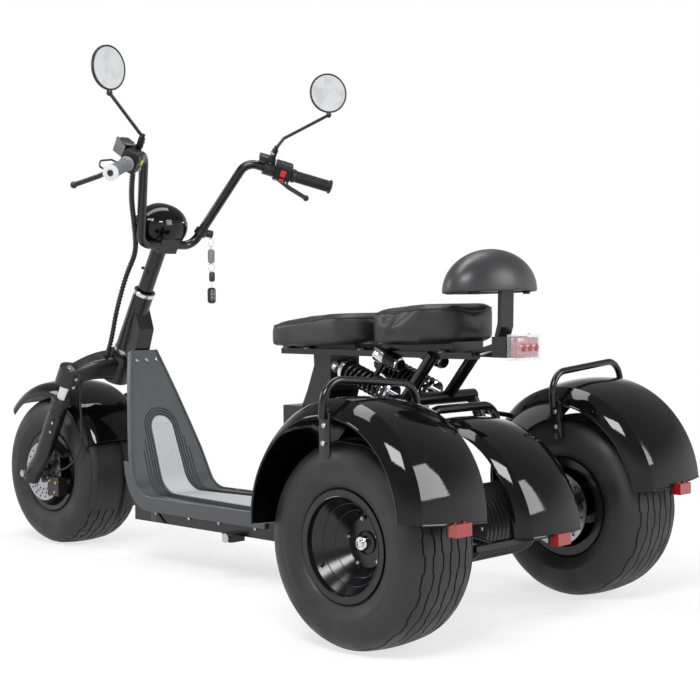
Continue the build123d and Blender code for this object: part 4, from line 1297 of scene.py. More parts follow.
@dataclass
class Tyre:
    """A balloon tyre with grooves round its tread."""

    node: str
    centre: tuple[float, float, float]
    body: Body
    shoulder_slots: bool = False
    crown: float = TYRE_RADIUS
    edge: float = TYRE_RADIUS - 4.0
    half: float = TYRE_WIDTH / 2
    tread_half: float = TYRE_WIDTH / 2 - 40.0
    groove: float = 4.4
    depth: float = 4.2
    jog: float = 1.9
    spacing: float = 24.0
    steps: int = 180

    def wall(self) -> list[tuple[float, float]]:
        """The left wall as (radius, y), from the tread's edge in to the bead.

        Returns:
            The points.
        """
        wide = (TYRE_RADIUS + BEAD_RADIUS) / 2
        shoulder = arc_through((self.edge, self.tread_half), (199.0, 90.5), (wide, self.half), 12)
        flank = arc_through((wide, self.half), (wide - 24.0, self.half - 6.5), (118.0, 78.0), 10)
        ridge = [(r, y + (1.4 if 121.0 < r < 126.0 or 150.0 < r < 153.0 else 0.0)) for r, y in flank[1:-1]]
        return [*shoulder, *ridge, flank[-1], (BEAD_RADIUS, 78.0)]

    def radius_at(self, y: float) -> float:
        """The tread's radius at a distance from the middle.

        Args:
            y: the distance, to either side.

        Returns:
            The radius.
        """
        reach = abs(y)
        if reach <= self.tread_half:
            return self.crown - (self.crown - self.edge) * (reach / self.tread_half) ** 2
        points = arc_through((self.edge, self.tread_half), (199.0, 90.5), (160.5, self.half), 40)
        return read_table([(y, r) for r, y in points], reach, points[-1][0])

    def tread(self) -> list[tuple[float, float, float]]:
        """The tread as (y, depth below the surface, sideways jog), from right to left.

        Returns:
            The rows.
        """
        reach = self.groove / 2
        row = []
        for place in range(-3, 4):
            mark, sway = place * self.spacing, self.jog * (1 if place % 2 else -1)
            row += [(mark - reach, 0.0, sway), (mark - reach * 0.7, self.depth, sway)]
            row += [(mark + reach * 0.7, self.depth, sway), (mark + reach, 0.0, sway)]
            row += [(mark + self.spacing / 2, 0.0, 0.0)]
        return [(-self.spacing * 3.5, 0.0, 0.0), *row]

    def build(self, kit: Kit) -> None:
        """Builds the tyre in place of its node.

        Args:
            kit: the frame, the finishes and the shared trees.
        """
        wall = [point for point in self.wall() if abs(point[1]) > self.spacing * 3.5 or point[0] < 180.0]
        tread = self.tread()
        cx, cy, cz = self.centre
        rows = []
        for step in range(self.steps):
            angle = math.tau * step / self.steps
            sign = 1.0 if step // 5 % 2 else -1.0
            slot = self.shoulder_slots and step % 5 == 0
            ring = [(r, -y) for r, y in reversed(wall)]
            for y, depth, sway in tread:
                place = y + sway * sign
                cut = 3.4 if slot and abs(y) > 50.0 else 0.0
                ring.append((self.radius_at(place) - max(depth, cut), place))
            ring += wall
            cos, sin = math.cos(angle), math.sin(angle)
            rows.append([(cx + r * cos, cy + y, cz + r * sin) for r, y in ring])
        shape = Shape().skin(rows, loop=True)
        piece = shape.build(self.node + "_tread", kit.finishes["tyre_rubber"], self.body, sharp=50.0)
        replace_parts(piece, self.node)


DISC_TILT = Matrix.Rotation(math.radians(90), 4, "X")


@dataclass
class WheelTrim:
    """Nut, washer, studs and valve of a rear wheel, and its drilled disc."""

    side: int
    body: Body
    disc_node: str
    stud_ring: float = 50.0
    studs: int = 5
    dish: float = 14.0
    shaft_out: float = 26.0
    disc_radius: float = 90.0
    disc_at: float = 116.5

    def build(self, kit: Kit) -> None:
        """Builds the trim of one wheel.

        Args:
            kit: the frame, the finishes and the shared trees.
        """
        made, y0, label = kit.finishes, self.side * REAR_TRACK / 2, hand(self.side)
        axle, out, end = (0.0, y0, AXLE_Z), (0.0, self.side, 0.0), self.shaft_out
        washer = [(0, 14.2), (25, 14.2), (25, 17), (22, 18.5), (0, 18.5)]
        nut = [(0, 18.0), (14.5, 18.0), (15.5, 20.0), (15.5, end + 4), (13.5, end + 6), (8, end + 6)]
        nut += [(8, end + 10), (6.5, end + 11), (0, end + 11)]
        pieces = (("washer", "rim_black", washer, 40), ("axle_nut", "chrome", nut, 30))
        for name, finish, profile, steps in pieces:
            Shape().turn(profile, axle, out, steps).build(f"{label}_{name}", made[finish], self.body)
        spots, face = [], y0 + self.side * (self.dish + 2.0)
        for i in range(self.studs):
            turn = math.radians(81.0 + 360.0 * i / self.studs)
            x, z = self.stud_ring * math.cos(turn), self.stud_ring * math.sin(turn)
            spots.append((at(x, face, AXLE_Z + z), Vector(out), (5.0, 5.0, 6.0)))
        kit.hexes.place(f"{label}_rim_bolts", made["bolt"], self.body, spots)
        valve = Vector((82.0, y0 + self.side * 56.0, AXLE_Z - 50.0))
        Shape().tube([valve, valve + Vector((-8, self.side * 16.0, 5))], [4.5, 3.0]).build(
            f"{label}_valve", made["soft_rubber"], self.body
        )
        # Thin beads on the rim's steps, in the lighter copy of the rim paint: real rings, with a painted
        # highlight in their colour.
        rings = [(103.0, 86.4, 1.0), (85.5, 56.0, 0.9), (70.0, 35.8, 0.9)]
        for number, (radius, along, wire) in enumerate(rings):
            hoop = [(radius + a, along + b) for a, b in circle(wire, 8)]
            shape = Shape().turn(hoop, axle, out, 96, loop=True)
            shape.build(f"{label}_rim_step_{number}", made["rim_painted_highlight"], self.body)
        turn = Matrix.Translation(at(0, y0 - self.side * self.disc_at, AXLE_Z)) @ DISC_TILT
        sizes = {"Outer": self.disc_radius / 1000.0, "Thickness": 0.004}
        piece = kit.drilled.grow(f"{label}_drilled_disc", made["steel"], self.body, turn=turn, **sizes)
        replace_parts(piece, self.disc_node)


@dataclass
class FrontWheel:
    """The front brake disc with its carrier, and what holds the wheel."""

    disc_v: float = 108.0
    disc_radius: float = 86.0
    caliper: tuple[float, float, float] = (-72.0, 111.0, -38.0)

    def build(self, kit: Kit) -> None:
        """Builds the disc, its bolts and the caliper's fittings.

        Args:
            kit: the frame, the finishes and the shared trees.
        """
        made, turn = kit.finishes, Matrix.Translation(at(WHEELBASE, self.disc_v + 2.0, AXLE_Z)) @ DISC_TILT
        outer = self.disc_radius / 1000.0
        disc = kit.drilled.grow("front_drilled_disc", made["steel"], Body.FRONT_WHEEL, turn=turn, Outer=outer)
        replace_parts(disc, "front_disc")
        carrier = [(10, 2.2), (33, 2.2), (33, 3.6), (10, 3.6)]
        Shape().turn(carrier, (WHEELBASE, self.disc_v, AXLE_Z), LEFT, 48, loop=True).build(
            "disc_carrier", made["cast_black"], Body.FRONT_WHEEL
        )
        face = self.disc_v + 3.4
        spots = [(at(WHEELBASE + a, face, AXLE_Z + b), LEFT, (4.2, 4.2, 3.4)) for a, b in circle(27.0, 5)]
        kit.rounds.place("disc_bolts", made["bolt"], Body.FRONT_WHEEL, spots)
        x, y, z = self.caliper
        places = [(14.0, 16.0), (-16.0, 12.0), (-10.0, -16.0)]
        spots = [(at(WHEELBASE + x + a, y + 15.5, AXLE_Z + z + b), LEFT, (5, 5, 5)) for a, b in places]
        kit.hexes.place("caliper_bolts", made["brass"], Body.STEERING, spots)
        spots = sideways([(WHEELBASE, 179.0, AXLE_Z)], (11.0, 11.0, 7.0))
        kit.hexes.place("front_axle_nuts", made["bolt"], Body.STEERING, spots)


@dataclass(frozen=True)
class Band:
    """The arched section that the fenders share."""

    half: float
    radius: float
    skirt: float = 88.0
    shoulder: float = 0.72
    drop: float = 8.0

    def wall(self, r: float) -> float:
        """Half the width of the outside at a radius on its wall.

        Args:
            r: the radius.

        Returns:
            The half width.
        """
        shoulder_y, shoulder_r = self.half * self.shoulder, self.radius - self.drop
        edge = self.radius - self.skirt
        middle = (shoulder_r - (shoulder_r - edge) * 0.32, self.half - (self.half - shoulder_y) * 0.29)
        points = arc_through((shoulder_r, shoulder_y), middle, (edge, self.half), 24)
        return read_table(points[::-1], r, self.half)

    def across(self) -> list[tuple[float, float]]:
        """The outside as (radius, y) from the left shoulder over the crown to the right one."""
        y, r = self.half * self.shoulder, self.radius - self.drop
        return arc_through((r, y), (self.radius, 0.0), (r, -y), 16)


@dataclass
class RearFender:
    """Trim of one outer fender: rolled edges, handle brackets and bolts."""

    side: int
    crown: tuple[float, float, float] = (-9.0, 398.0, 275.0)
    tilt: float = math.radians(4.5)
    arch: tuple[float, float] = (9.0, -10.0)
    arch_radius: float = 216.0
    foot: float = 10.0
    front: float = -32.0
    bead: float = 2.6
    band: Band = Band(134.0, 250.0)

    def put(self, x: float, y: float, z: float) -> Vector:
        """A place about the fender's own crown centre, y outwards, in the frame.

        Args:
            x: forward.
            y: outwards.
            z: up.

        Returns:
            The place.
        """
        cx, cy, cz = self.crown
        out = cy + y * math.cos(self.tilt) - z * math.sin(self.tilt)
        return at(cx + x, self.side * out, cz + y * math.sin(self.tilt) + z * math.cos(self.tilt))

    def edge_line(self, outer: int) -> list[tuple[float, float, float]]:
        """The arch's edge on the outer (1) or inner (-1) wall, from the foot behind to the front.

        Args:
            outer: 1 or -1.

        Returns:
            Its points.
        """
        ax, az = self.arch
        start = math.pi - math.asin((self.foot - az) / self.arch_radius)
        end = math.asin((self.front - az) / self.arch_radius)
        line = []
        for i in range(41):
            angle = start + (end - start) * i / 40
            x, z = ax + self.arch_radius * math.cos(angle), az + self.arch_radius * math.sin(angle)
            line.append((x, outer * (self.band.wall(math.hypot(x, z)) - 1.0), z))
        return line

    def end_line(self, level: float, way: int) -> list[tuple[float, float, float]]:
        """The shell's end, level across the fender, behind (way -1) or in front (way 1)."""
        return [(way * (math.sqrt(r * r - level * level) - 1.5), y, level) for r, y in self.band.across()]

    def build(self, kit: Kit) -> None:
        """Builds the trim.

        Args:
            kit: the frame, the finishes and the shared trees.
        """
        made, label = kit.finishes, hand(self.side)
        shape = Shape(self.put)
        ends = [self.end_line(self.foot, -1), self.end_line(self.front, 1)]
        for line in [self.edge_line(1), self.edge_line(-1), *ends]:
            shape.tube(line, self.bead, 8)
        shape.build(f"{label}_fender_edge", made["gloss_black"], Body.CHASSIS)
        plates, spots = Shape(self.put), []
        for out in (1, -1):
            reach = out * (self.band.wall(212.0) + 5.0)
            plates.slab(rounded(30, 96, 8), (0, reach, 168), (1, 0, 0), (0, 0.08 * out, 1), 4.0)
            for height in (188.0, 152.0):
                way = self.put(0, reach + out * 10, height) - self.put(0, reach, height)
                spots.append((self.put(0, reach + out * 3.5, height), way.normalized(), (5.6, 5.6, 5.0)))
        plates.build(f"{label}_handle_brackets", made["tube_black"], Body.CHASSIS, bevel=0.8)
        kit.rounds.place(f"{label}_bracket_bolts", made["bolt"], Body.CHASSIS, spots)


@dataclass
class MiddleFender:
    """Trim of the fender over the motor."""

    crown: tuple[float, float, float] = (55.0, 0.0, 189.0)
    band: Band = Band(118.0, 265.0)
    foot: float = 23.0

    def build(self, kit: Kit) -> None:
        """Builds the rolled foot and the fixing bolts.

        Args:
            kit: the frame, the finishes and the shared trees.
        """
        cx, _, cz = self.crown
        level = self.foot
        line = [(cx - math.sqrt(r * r - level * level) + 1.5, y, cz + level) for r, y in self.band.across()]
        Shape().tube(line, 2.6, 8).build("middle_fender_edge", kit.finishes["gloss_black"], Body.CHASSIS)
        spots = sideways([(x, 119.0, 414.0) for x in (58.0, 82.0)], (4.6, 4.6, 4.0))
        kit.rounds.place("middle_fender_bolts", kit.finishes["bolt"], Body.CHASSIS, spots)


@dataclass
class Reflectors:
    """Backs and screws of the three red reflectors."""

    places: tuple[tuple[float, float, float], ...] = (
        (-261.0, 398.0, 275.0), (-261.0, -398.0, 275.0), (-206.0, 0.0, 201.0)
    )
    size: tuple[float, float, float] = (27.0, 45.0, 26.0)

    def build(self, kit: Kit) -> None:
        """Builds the ribs behind each lens and its two screws.

        Args:
            kit: the frame, the finishes and the shared trees.
        """
        backs, spots = Shape(), []
        depth, width, height = self.size
        for x, y, z in self.places:
            front = x + depth / 2
            backs.block((front - 2.0, y, z), (5.0, width + 2.0, height + 1.6))
            for shift in (-14.0, 14.0):
                spots.append((at(x, y + shift, z + height / 2 + 0.5), UP, (2.6, 2.6, 2.2)))
        backs.build("reflector_backs", kit.finishes["black_plastic"], Body.CHASSIS, bevel=0.7)
        kit.rounds.place("reflector_screws", kit.finishes["red_reflector"], Body.CHASSIS, spots)


@dataclass
class Cushion:
    """A seat pad: foam under leatherette, piped round its top edge."""

    node: str
    seam_drop: float
    shrink: float = 0.975
    cap: float = 0.005
    voxel: float = 0.005
    pressure: float = 4.0
    frames: int = 20
    piping: float = 2.6
    seam_steps: int = 160
    top_inset: float = 0.025
    top_half: float = 0.092
    tuck_drop: float = 0.0055

    def start(self, kit: Kit) -> bpy.types.Object:
        """Copies the pad's solid, a little smaller, as one even skin.

        Args:
            kit: the frame, the finishes and the shared trees.

        Returns:
            The pad, its new skin still a modifier.
        """
        mesh = kit.nodes[self.node].data.copy()
        soften(mesh)
        low = min(v.co.z for v in mesh.vertices)
        centre = sum((v.co for v in mesh.vertices), Vector()) / len(mesh.vertices)
        centre.z = low
        for vertex in mesh.vertices:
            off = vertex.co - centre
            vertex.co = centre + Vector((off.x * self.shrink, off.y * self.shrink, off.z * 0.985))
        pad = put_in_scene(self.node + "_pad", mesh)
        remesh = pad.modifiers.new("skin", "REMESH")
        remesh.mode, remesh.voxel_size = "VOXEL", self.voxel
        return pad

    def swell(self, pad: bpy.types.Object) -> None:
        """Blows the skin up a little, no further than the cap and never below its base.

        Args:
            pad: the pad.
        """
        before = [v.co.copy() for v in pad.data.vertices]
        cloth = pad.modifiers.new("foam", "CLOTH")
        cloth.settings.use_pressure = True
        cloth.settings.uniform_pressure_force = self.pressure
        cloth.settings.effector_weights.gravity = 0.0
        cloth.settings.quality = 5
        cloth.point_cache.frame_start, cloth.point_cache.frame_end = 1, self.frames
        scene = bpy.context.scene
        for frame in range(1, self.frames + 1):
            scene.frame_set(frame)
        graph = bpy.context.evaluated_depsgraph_get()
        after = [v.co.copy() for v in pad.evaluated_get(graph).data.vertices]
        pad.modifiers.clear()
        scene.frame_set(1)
        floor = min(co.z for co in before)
        for vertex, old, new in zip(pad.data.vertices, before, after):
            move = new - old
            if move.length > self.cap:
                move *= self.cap / move.length
            moved = old + move
            moved.z = max(moved.z, floor)
            vertex.co = moved

    def build(self, kit: Kit) -> bpy.types.Object:
        """Builds the pad in place of its node, with its piping and welts.

        Args:
            kit: the frame, the finishes and the shared trees.

        Returns:
            The pad.
        """
        pad = self.start(kit)
        pad.data = settle(pad)
        self.swell(pad)
        smooth = pad.modifiers.new("even", "SMOOTH")
        smooth.factor, smooth.iterations = 0.6, 6
        fine = pad.modifiers.new("fine", "SUBSURF")
        fine.levels = fine.render_levels = 1
        pad.data = settle(pad)
        for polygon in pad.data.polygons:
            polygon.use_smooth = True
        coat(pad.data, kit.finishes["seat_skin"])
        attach(pad, Body.CHASSIS.value)
        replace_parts(pad, self.node)
        self.pipe(kit, pad)
        return pad

    def seam(self, pad: bpy.types.Object, sink: float) -> list[Vector]:
        """Points round the pad where its wall meets its top, in the frame's metres.

        Args:
            pad: the pad.
            sink: how far below the top the line runs, in metres.

        Returns:
            The points.
        """
        tree = surface_of(pad.data)
        xs = [v.co.x for v in pad.data.vertices]
        high = max(v.co.z for v in pad.data.vertices)
        middle, half = (min(xs) + max(xs)) / 2, (max(xs) - min(xs)) / 2
        line = []
        for i in range(self.seam_steps):
            angle = math.tau * i / self.seam_steps
            way = Vector((math.cos(angle), math.sin(angle), 0.0))
            above = Vector((middle + way.x * (half - self.top_inset), way.y * self.top_half, high + 0.1))
            top = tree.ray_cast(above, -UP)[0]
            height = (top.z if top else high) - sink
            hit = tree.ray_cast(Vector((middle + way.x * 0.6, way.y * 0.6, height)), -way)[0]
            if hit:
                line.append(hit)
        return line

    def pipe(self, kit: Kit, pad: bpy.types.Object) -> None:
        """Lays the piping on the pad's upper edge and a row of small tucks under it.

        Args:
            kit: the frame, the finishes and the shared trees.
            pad: the pad.
        """
        line = self.seam(pad, self.seam_drop / 1000.0)
        shape = Shape(lambda x, y, z: Vector((x, y, z)))
        shape.tube(line, self.piping / 1000.0, 8, loop=True)
        piping = shape.build(self.node + "_piping", kit.finishes["seat_skin"], Body.CHASSIS)
        centre = sum(line, Vector()) / len(line)
        spots = []
        for i in range(0, len(line), 2):
            here = line[i] - UP * self.tuck_drop
            out = (here - centre) * Vector((1, 1, 0))
            spots.append((here + out.normalized() * -0.0012, out.normalized(), (1.1, 2.6, 3.4)))
        kit.rounds.place(self.node + "_tucks", kit.finishes["seat_skin"], Body.CHASSIS, spots)


@dataclass
class SeatFixings:
    """Feet, pan bolts and the backrest's clips."""

    feet: tuple[float, ...] = (587.0, 515.0, 330.0, 250.0, 75.0)
    rail: float = 66.0

    def build(self, kit: Kit) -> None:
        """Builds the small fittings under the seats and the backrest.

        Args:
            kit: the frame, the finishes and the shared trees.
        """
        made, places = kit.finishes, [(x, y) for x in self.feet for y in (self.rail, -self.rail)]
        feet = Shape()
        for x, y in places:
            feet.block((x, y * 57.0 / 66.0, 604.0), (26.0, 20.0, 8.0))
        feet.build("seat_feet", made["tube_black"], Body.CHASSIS, bevel=1.0)
        spots = [(at(x, y, 600.0), -UP, (5.0, 5.0, 6.0)) for x, y in places]
        kit.hexes.place("seat_bolts", made["bolt"], Body.CHASSIS, spots)
        rim = [(-16.0 + 76.0 * a, 134.0 * b, 739.0 - 4.0 * a) for a, b in circle(1.0, 72)]
        Shape().tube(rim, 3.0, 8, loop=True).build("backrest_rim", made["rest_plastic"], Body.CHASSIS)
        clips = Shape()
        for x, y in ((20.0, 96.0), (20.0, -96.0), (-50.0, 88.0), (-50.0, -88.0), (38.0, 0.0)):
            clips.block((x, y, 736.0), (16.0, 8.0, 8.0))
        clips.build("backrest_clips", made["black_plastic"], Body.CHASSIS, bevel=0.8)


@dataclass
class Shock:
    """Coil, collars, eyes and gas cylinder dressing of one shock absorber."""

    side: int
    y: float = 75.0
    top: tuple[float, float] = (390.0, 562.0)
    low: tuple[float, float] = (180.0, 488.0)
    coil_radius: float = 23.5
    wire: float = 3.4
    gas_top: tuple[float, float, float] = (268.0, 77.0, 598.0)
    gas_low: tuple[float, float, float] = (184.0, 77.0, 568.0)

    def build(self, kit: Kit) -> None:
        """Builds the dressing.

        Args:
            kit: the frame, the finishes and the shared trees.
        """
        made, label = kit.finishes, hand(self.side)
        top = Vector((self.top[0], self.side * self.y, self.top[1]))
        low = Vector((self.low[0], self.side * self.y, self.low[1]))
        way = (low - top).normalized()
        turn = Matrix.Translation(at(*(top + way * 40.0))) @ way.to_track_quat("Z", "Y").to_matrix().to_4x4()
        spring = kit.coil.grow(
            f"{label}_coil", made["spring_black"], Body.CHASSIS, turn=turn, sharp=60.0,
            Turns=9.0, Radius=self.coil_radius / 1000.0, Height=0.138, Wire=self.wire / 1000.0,
        )
        if self.side > 0:
            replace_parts(spring, "shock_springs")
        rod = Shape().turn([(0, 34), (14, 34), (14, 120), (7.4, 122), (7.4, 206), (0, 206)], top, way)
        rod.build(f"{label}_damper", made["chrome"], Body.CHASSIS)
        collars = Shape()
        collars.turn([(14, 20), (26, 20), (27.3, 22), (27.3, 31), (26, 33), (14, 33)], top, way, 48)
        collars.turn([(14, 176), (24, 176), (26.5, 178), (26.5, 184), (24, 186), (14, 186)], top, way, 48)
        collars.build(f"{label}_collars", made["chrome"], Body.CHASSIS, sharp=25.0)
        eyes, spots = Shape(), []
        for end, reach, head in ((top, 17.0, 18.5), (low, 12.0, 16.0)):
            ring = [(6.0, -reach), (14.2, -reach), (14.2, reach), (6.0, reach)]
            eyes.turn(ring, end, LEFT, 32, loop=True)
            for out in (1, -1):
                spots.append((at(end.x, end.y + out * head, end.z), Vector((0, out, 0)), (7.5, 7.5, 6.0)))
        eyes.build(f"{label}_eyes", made["spring_black"], Body.CHASSIS)
        kit.hexes.place(f"{label}_shock_bolts", made["bolt"], Body.CHASSIS, spots)
        self.gas(kit, label)

    def gas(self, kit: Kit, label: str) -> None:
        """Builds the gas cylinder's sleeve, bands and cap.

        Args:
            kit: the frame, the finishes and the shared trees.
            label: the side's name.
        """
        top, low = (Vector((x, self.side * y, z)) for x, y, z in (self.gas_top, self.gas_low))
        sleeve = [(0, 5.6), (17.2, 5.6), (18.2, 7), (18.2, 37), (17.8, 38.5), (0, 38.5)]
        bands = [[(17, a), (18.4, a), (18.4, a + 4), (17, a + 4)] for a in (44.0, 52.0, 60.0)]
        cap = [(0, 74), (15.5, 74), (16.5, 76), (16.5, 80), (13, 82), (0, 82)]
        skin = "chrome" if self.side > 0 else "gloss_black"
        parts = (("sleeve", skin, [sleeve]), ("bands", "tube_black", bands), ("cap", "chrome", [cap]))
        for name, finish, profiles in parts:
            shape = Shape()
            for profile in profiles:
                shape.turn(profile, top, low - top, 48)
            shape.build(f"{label}_gas_{name}", kit.finishes[finish], Body.CHASSIS)


@dataclass
class Shield:
    """The step-through's inset pad, ribs, rim and screws."""

    top: tuple[float, float] = (1253.0, 581.0)
    foot: tuple[float, float] = (1113.0, 190.0)
    rear: float = 600.0
    bend: float = 70.0
    arch_half: float = 36.0
    foot_half: float = 42.0
    rear_half: float = 68.0
    arch_top: float = 398.0
    rear_stop: float = 652.0
    outline: tuple[tuple[float, float], ...] = (
        (176.0, 135.0), (230.0, 135.0), (250.0, 132.0), (300.0, 124.0),
        (368.0, 107.0), (455.0, 84.0), (520.0, 65.0), (581.0, 46.0),
    )

    def line(self) -> list[Vector]:
        """The upper surface in side view, from the shield's top to the floor's rear edge.

        Returns:
            The line's points.
        """
        corners = [(*self.top, 0.0), (*self.foot, 0.0), (self.rear, self.foot[1], 0.0)]
        knots = [Vector(corner) for corner in corners]
        back, on = (knots[0] - knots[1]).normalized(), (knots[2] - knots[1]).normalized()
        half = back.angle(on) / 2
        reach = self.bend / math.tan(half)
        centre = knots[1] + (back + on).normalized() * (self.bend / math.sin(half))
        start, end = knots[1] + back * reach, knots[1] + on * reach
        a, b = start - centre, end - centre
        sweep = a.angle(b)
        arc = []
        for i in range(13):
            t = i / 12
            arc.append(centre + (a * math.sin((1 - t) * sweep) + b * math.sin(t * sweep)) / math.sin(sweep))
        upper = [knots[0].lerp(start, i / 24) for i in range(24)]
        floor = [end.lerp(knots[2], i / 24) for i in range(1, 25)]
        return [*upper, *arc, *floor]

    def spot(self, along: float, y: float, lift: float) -> tuple[float, float, float]:
        """A place on the surface, along it from the shield's top, raised off it by lift.

        Args:
            along: the distance from the top.
            y: the place across.
            lift: the height off the surface.

        Returns:
            The place in millimetres.
        """
        line, gone = self.profile, 0.0
        for here, there in zip(line, line[1:]):
            run = (there - here).length
            if gone + run >= along or there is line[-1]:
                t = min(1.0, (along - gone) / run)
                place = here.lerp(there, t)
                way = (there - here) / run
                off = Vector((way.y, -way.x))
                if off.y < 0:
                    off = -off
                return (place.x + off.x * lift, y, place.y + off.y * lift)
            gone += run
        return (line[-1].x, y, line[-1].y)

    def along_to(self, x: float | None = None, z: float | None = None) -> float:
        """How far along the surface a height or a length from the rear axle lies.

        Args:
            x: the length, where that is given.
            z: the height, where that is given.

        Returns:
            The distance from the top.
        """
        gone = 0.0
        for here, there in zip(self.profile, self.profile[1:]):
            low_enough = z is not None and there.y <= z
            if low_enough or x is not None and there.x <= x and there.y < self.foot[1] + 1:
                return gone
            gone += (there - here).length
        return gone

    def half_at(self, along: float) -> float:
        """Half the pad's width at a distance along the surface.

        Args:
            along: the distance from the top.

        Returns:
            The half width.
        """
        stops = [
            (self.along_to(z=self.arch_top - self.arch_half), self.arch_half),
            (self.along_to(z=self.foot[1] + 4.0), self.foot_half),
            (self.along_to(x=self.foot[0] - 60.0), self.foot_half),
            (self.along_to(x=self.rear_stop + 60.0), self.rear_half),
            (self.along_to(x=self.rear_stop), self.rear_half),
        ]
        return read_table(stops, max(along, stops[0][0]), self.rear_half)

    def round_pad(self, away: float, lift: float, stop: float) -> list[tuple[float, float, float]]:
        """A line round the pad at a distance from its edge, from the left rear over the arch to the right.

        Args:
            away: the distance from the pad's edge.
            lift: the height off the surface.
            stop: where the line ends behind.

        Returns:
            The line's points.
        """
        top = self.along_to(z=self.arch_top - self.arch_half)
        end = self.along_to(x=stop)
        left = [end + (top - end) * i / 60 for i in range(61)]
        side = [self.spot(a, self.half_at(a) + away, lift) for a in left]
        radius = self.arch_half + away
        arch = []
        for i in range(1, 16):
            angle = math.pi * i / 16
            arch.append(self.spot(top - radius * math.sin(angle), radius * math.cos(angle), lift))
        return [*side, *arch, *[(x, -y, z) for x, y, z in reversed(side)]]

    def edge_line(self, side: int) -> list[tuple[float, float, float]]:
        """The shield's left (1) or right (-1) border, from its top down to the floor's rear.

        Args:
            side: 1 or -1.

        Returns:
            Its points.
        """
        line = []
        for i in range(70):
            along = self.along_to(x=self.rear + 2) * i / 69
            x, _, z = self.spot(along, 0.0, 1.0)
            z = min(z, self.outline[-1][0])
            line.append((x, side * (read_table(self.outline, z, self.outline[0][1]) - 4.0), z))
        return line

    def build(self, kit: Kit) -> None:
        """Builds the ribs, the border, the pad's ribs and the screws.

        Args:
            kit: the frame, the finishes and the shared trees.
        """
        made = kit.finishes
        self.profile = [Vector((p.x, p.y)) for p in self.line()]
        border = Shape()
        for side in (1, -1):
            border.tube(self.edge_line(side), 3.2, 8)
        border.build("shield_border", made["shield_grey"], Body.CHASSIS)
        ribs = Shape()
        for away in (5.0, 13.0, 21.0):
            ribs.tube(self.round_pad(away, 0.4, self.rear_stop - 30), 1.5, 6)
        for away, start in ((31.0, 330.0), (41.0, 300.0)):
            high, low = self.along_to(z=start), self.along_to(x=640.0)
            for side in (1, -1):
                line = []
                for i in range(50):
                    along = high + (low - high) * i / 49
                    line.append(self.spot(along, side * min(120.0, self.half_at(along) + away), 0.4))
                ribs.tube(line, 1.5, 6)
        ribs.build("shield_ribs", made["shield_dark"], Body.CHASSIS)
        treads = Shape()
        low, high = self.along_to(x=690.0), self.along_to(z=372.0)
        for i in range(-3, 4):
            line = []
            for step in range(40):
                along = high + (low - high) * step / 39
                line.append(self.spot(along, i * self.half_at(along) * 0.24, 3.3))
            treads.tube(line, 1.1, 6)
        treads.build("pad_ribs", made["pad_grey"], Body.CHASSIS)
        spots = []
        for z, y in ((538.0, 0.0), (548.0, 34.0), (548.0, -34.0)):
            place = self.spot(self.along_to(z=z), y, 1.5)
            spots.append((at(*place), Vector((-0.94, 0, 0.34)), (5.5, 5.5, 4.0)))
        for x, y in ((630.0, 124.0), (630.0, -124.0), (1000.0, 124.0), (1000.0, -124.0)):
            spots.append((at(x, y, self.foot[1] + 1.4), UP, (5.0, 5.0, 3.4)))
        kit.rounds.place("shield_screws", made["bolt"], Body.CHASSIS, spots)


@dataclass
class Undercarriage:
    """Bolts, bracket and motor ribs below the floor."""

    def build(self, kit: Kit) -> None:
        """Builds them.

        Args:
            kit: the frame, the finishes and the shared trees.
        """
        made = kit.finishes
        peg = Vector((717.0, 157.0, 123.0))
        Shape().turn([(0, 0), (11, 0), (12, 2), (12, 6), (0, 6)], peg, LEFT).build(
            "peg_end", made["bolt"], Body.CHASSIS
        )
        wedge = [(0, 0), (60, 0), (60, 26), (34, 26)]
        bracket = Shape()
        for side in (1, -1):
            bracket.slab(wedge, (1000.0, side * 129.0, 128.0), AHEAD, UP, 4.0)
        bracket.build("floor_brackets", made["tube_black"], Body.CHASSIS, bevel=0.6)
        spots = sideways([(x, 128.5, 151.0) for x in (520.0, 640.0, 780.0, 900.0, 1040.0)], (5.0, 5.0, 5.0))
        kit.hexes.place("rail_bolts", made["bolt"], Body.CHASSIS, spots)
        line = [at(0, -84.0 + 14.0 * i, AXLE_Z) for i in range(13)]
        sizes = {"Count": 13, "Radius": 0.0825, "Wire": 0.0022}
        kit.rings.grow("motor_ribs", made["motor_casting"], Body.CHASSIS, line, joined=True, **sizes)
        spots = sideways([(a, 95.5, AXLE_Z + b) for a, b in circle(68.0, 6)], (5.0, 5.0, 5.0))
        kit.hexes.place("motor_bolts", made["bolt"], Body.CHASSIS, spots)
        fins = [(at(262.0 + 22.0 * i, 0.0, 470.0), UP, (4.0, 150.0, 5.0)) for i in range(9)]
        kit.blocks.place("controller_fins", made["motor_casting"], Body.CHASSIS, fins)


class GripPlace:
    """Places along one grip: distance in from the bar's end, up, and back towards the rider."""

    tip = Vector((-173.0, 380.0, 1046.0))
    high = Vector((-26.0, 178.0, 1040.0))

    def __init__(self, side: int) -> None:
        """Works out the grip's own directions on the left (1) or right (-1).

        Args:
            side: 1 or -1.
        """
        self.side = side
        self.out = (self.tip - self.high).normalized()
        self.down = self.out.cross(AHEAD).normalized()
        self.back = self.out.cross(self.down)

    def point(self, inwards: float, up: float, back: float) -> Vector:
        """A place in the steering's u, v, w."""
        u, v, w = self.tip - self.out * inwards - self.down * up + self.back * back
        return Vector((u, self.side * v, w))

    def __call__(self, inwards: float, up: float, back: float) -> Vector:
        """The same place in the frame."""
        return at_steer(*self.point(inwards, up, back))

    def way(self, inwards: float, up: float, back: float) -> Vector:
        """A direction in the frame."""
        return (self(inwards, up, back) - self(0, 0, 0)).normalized()


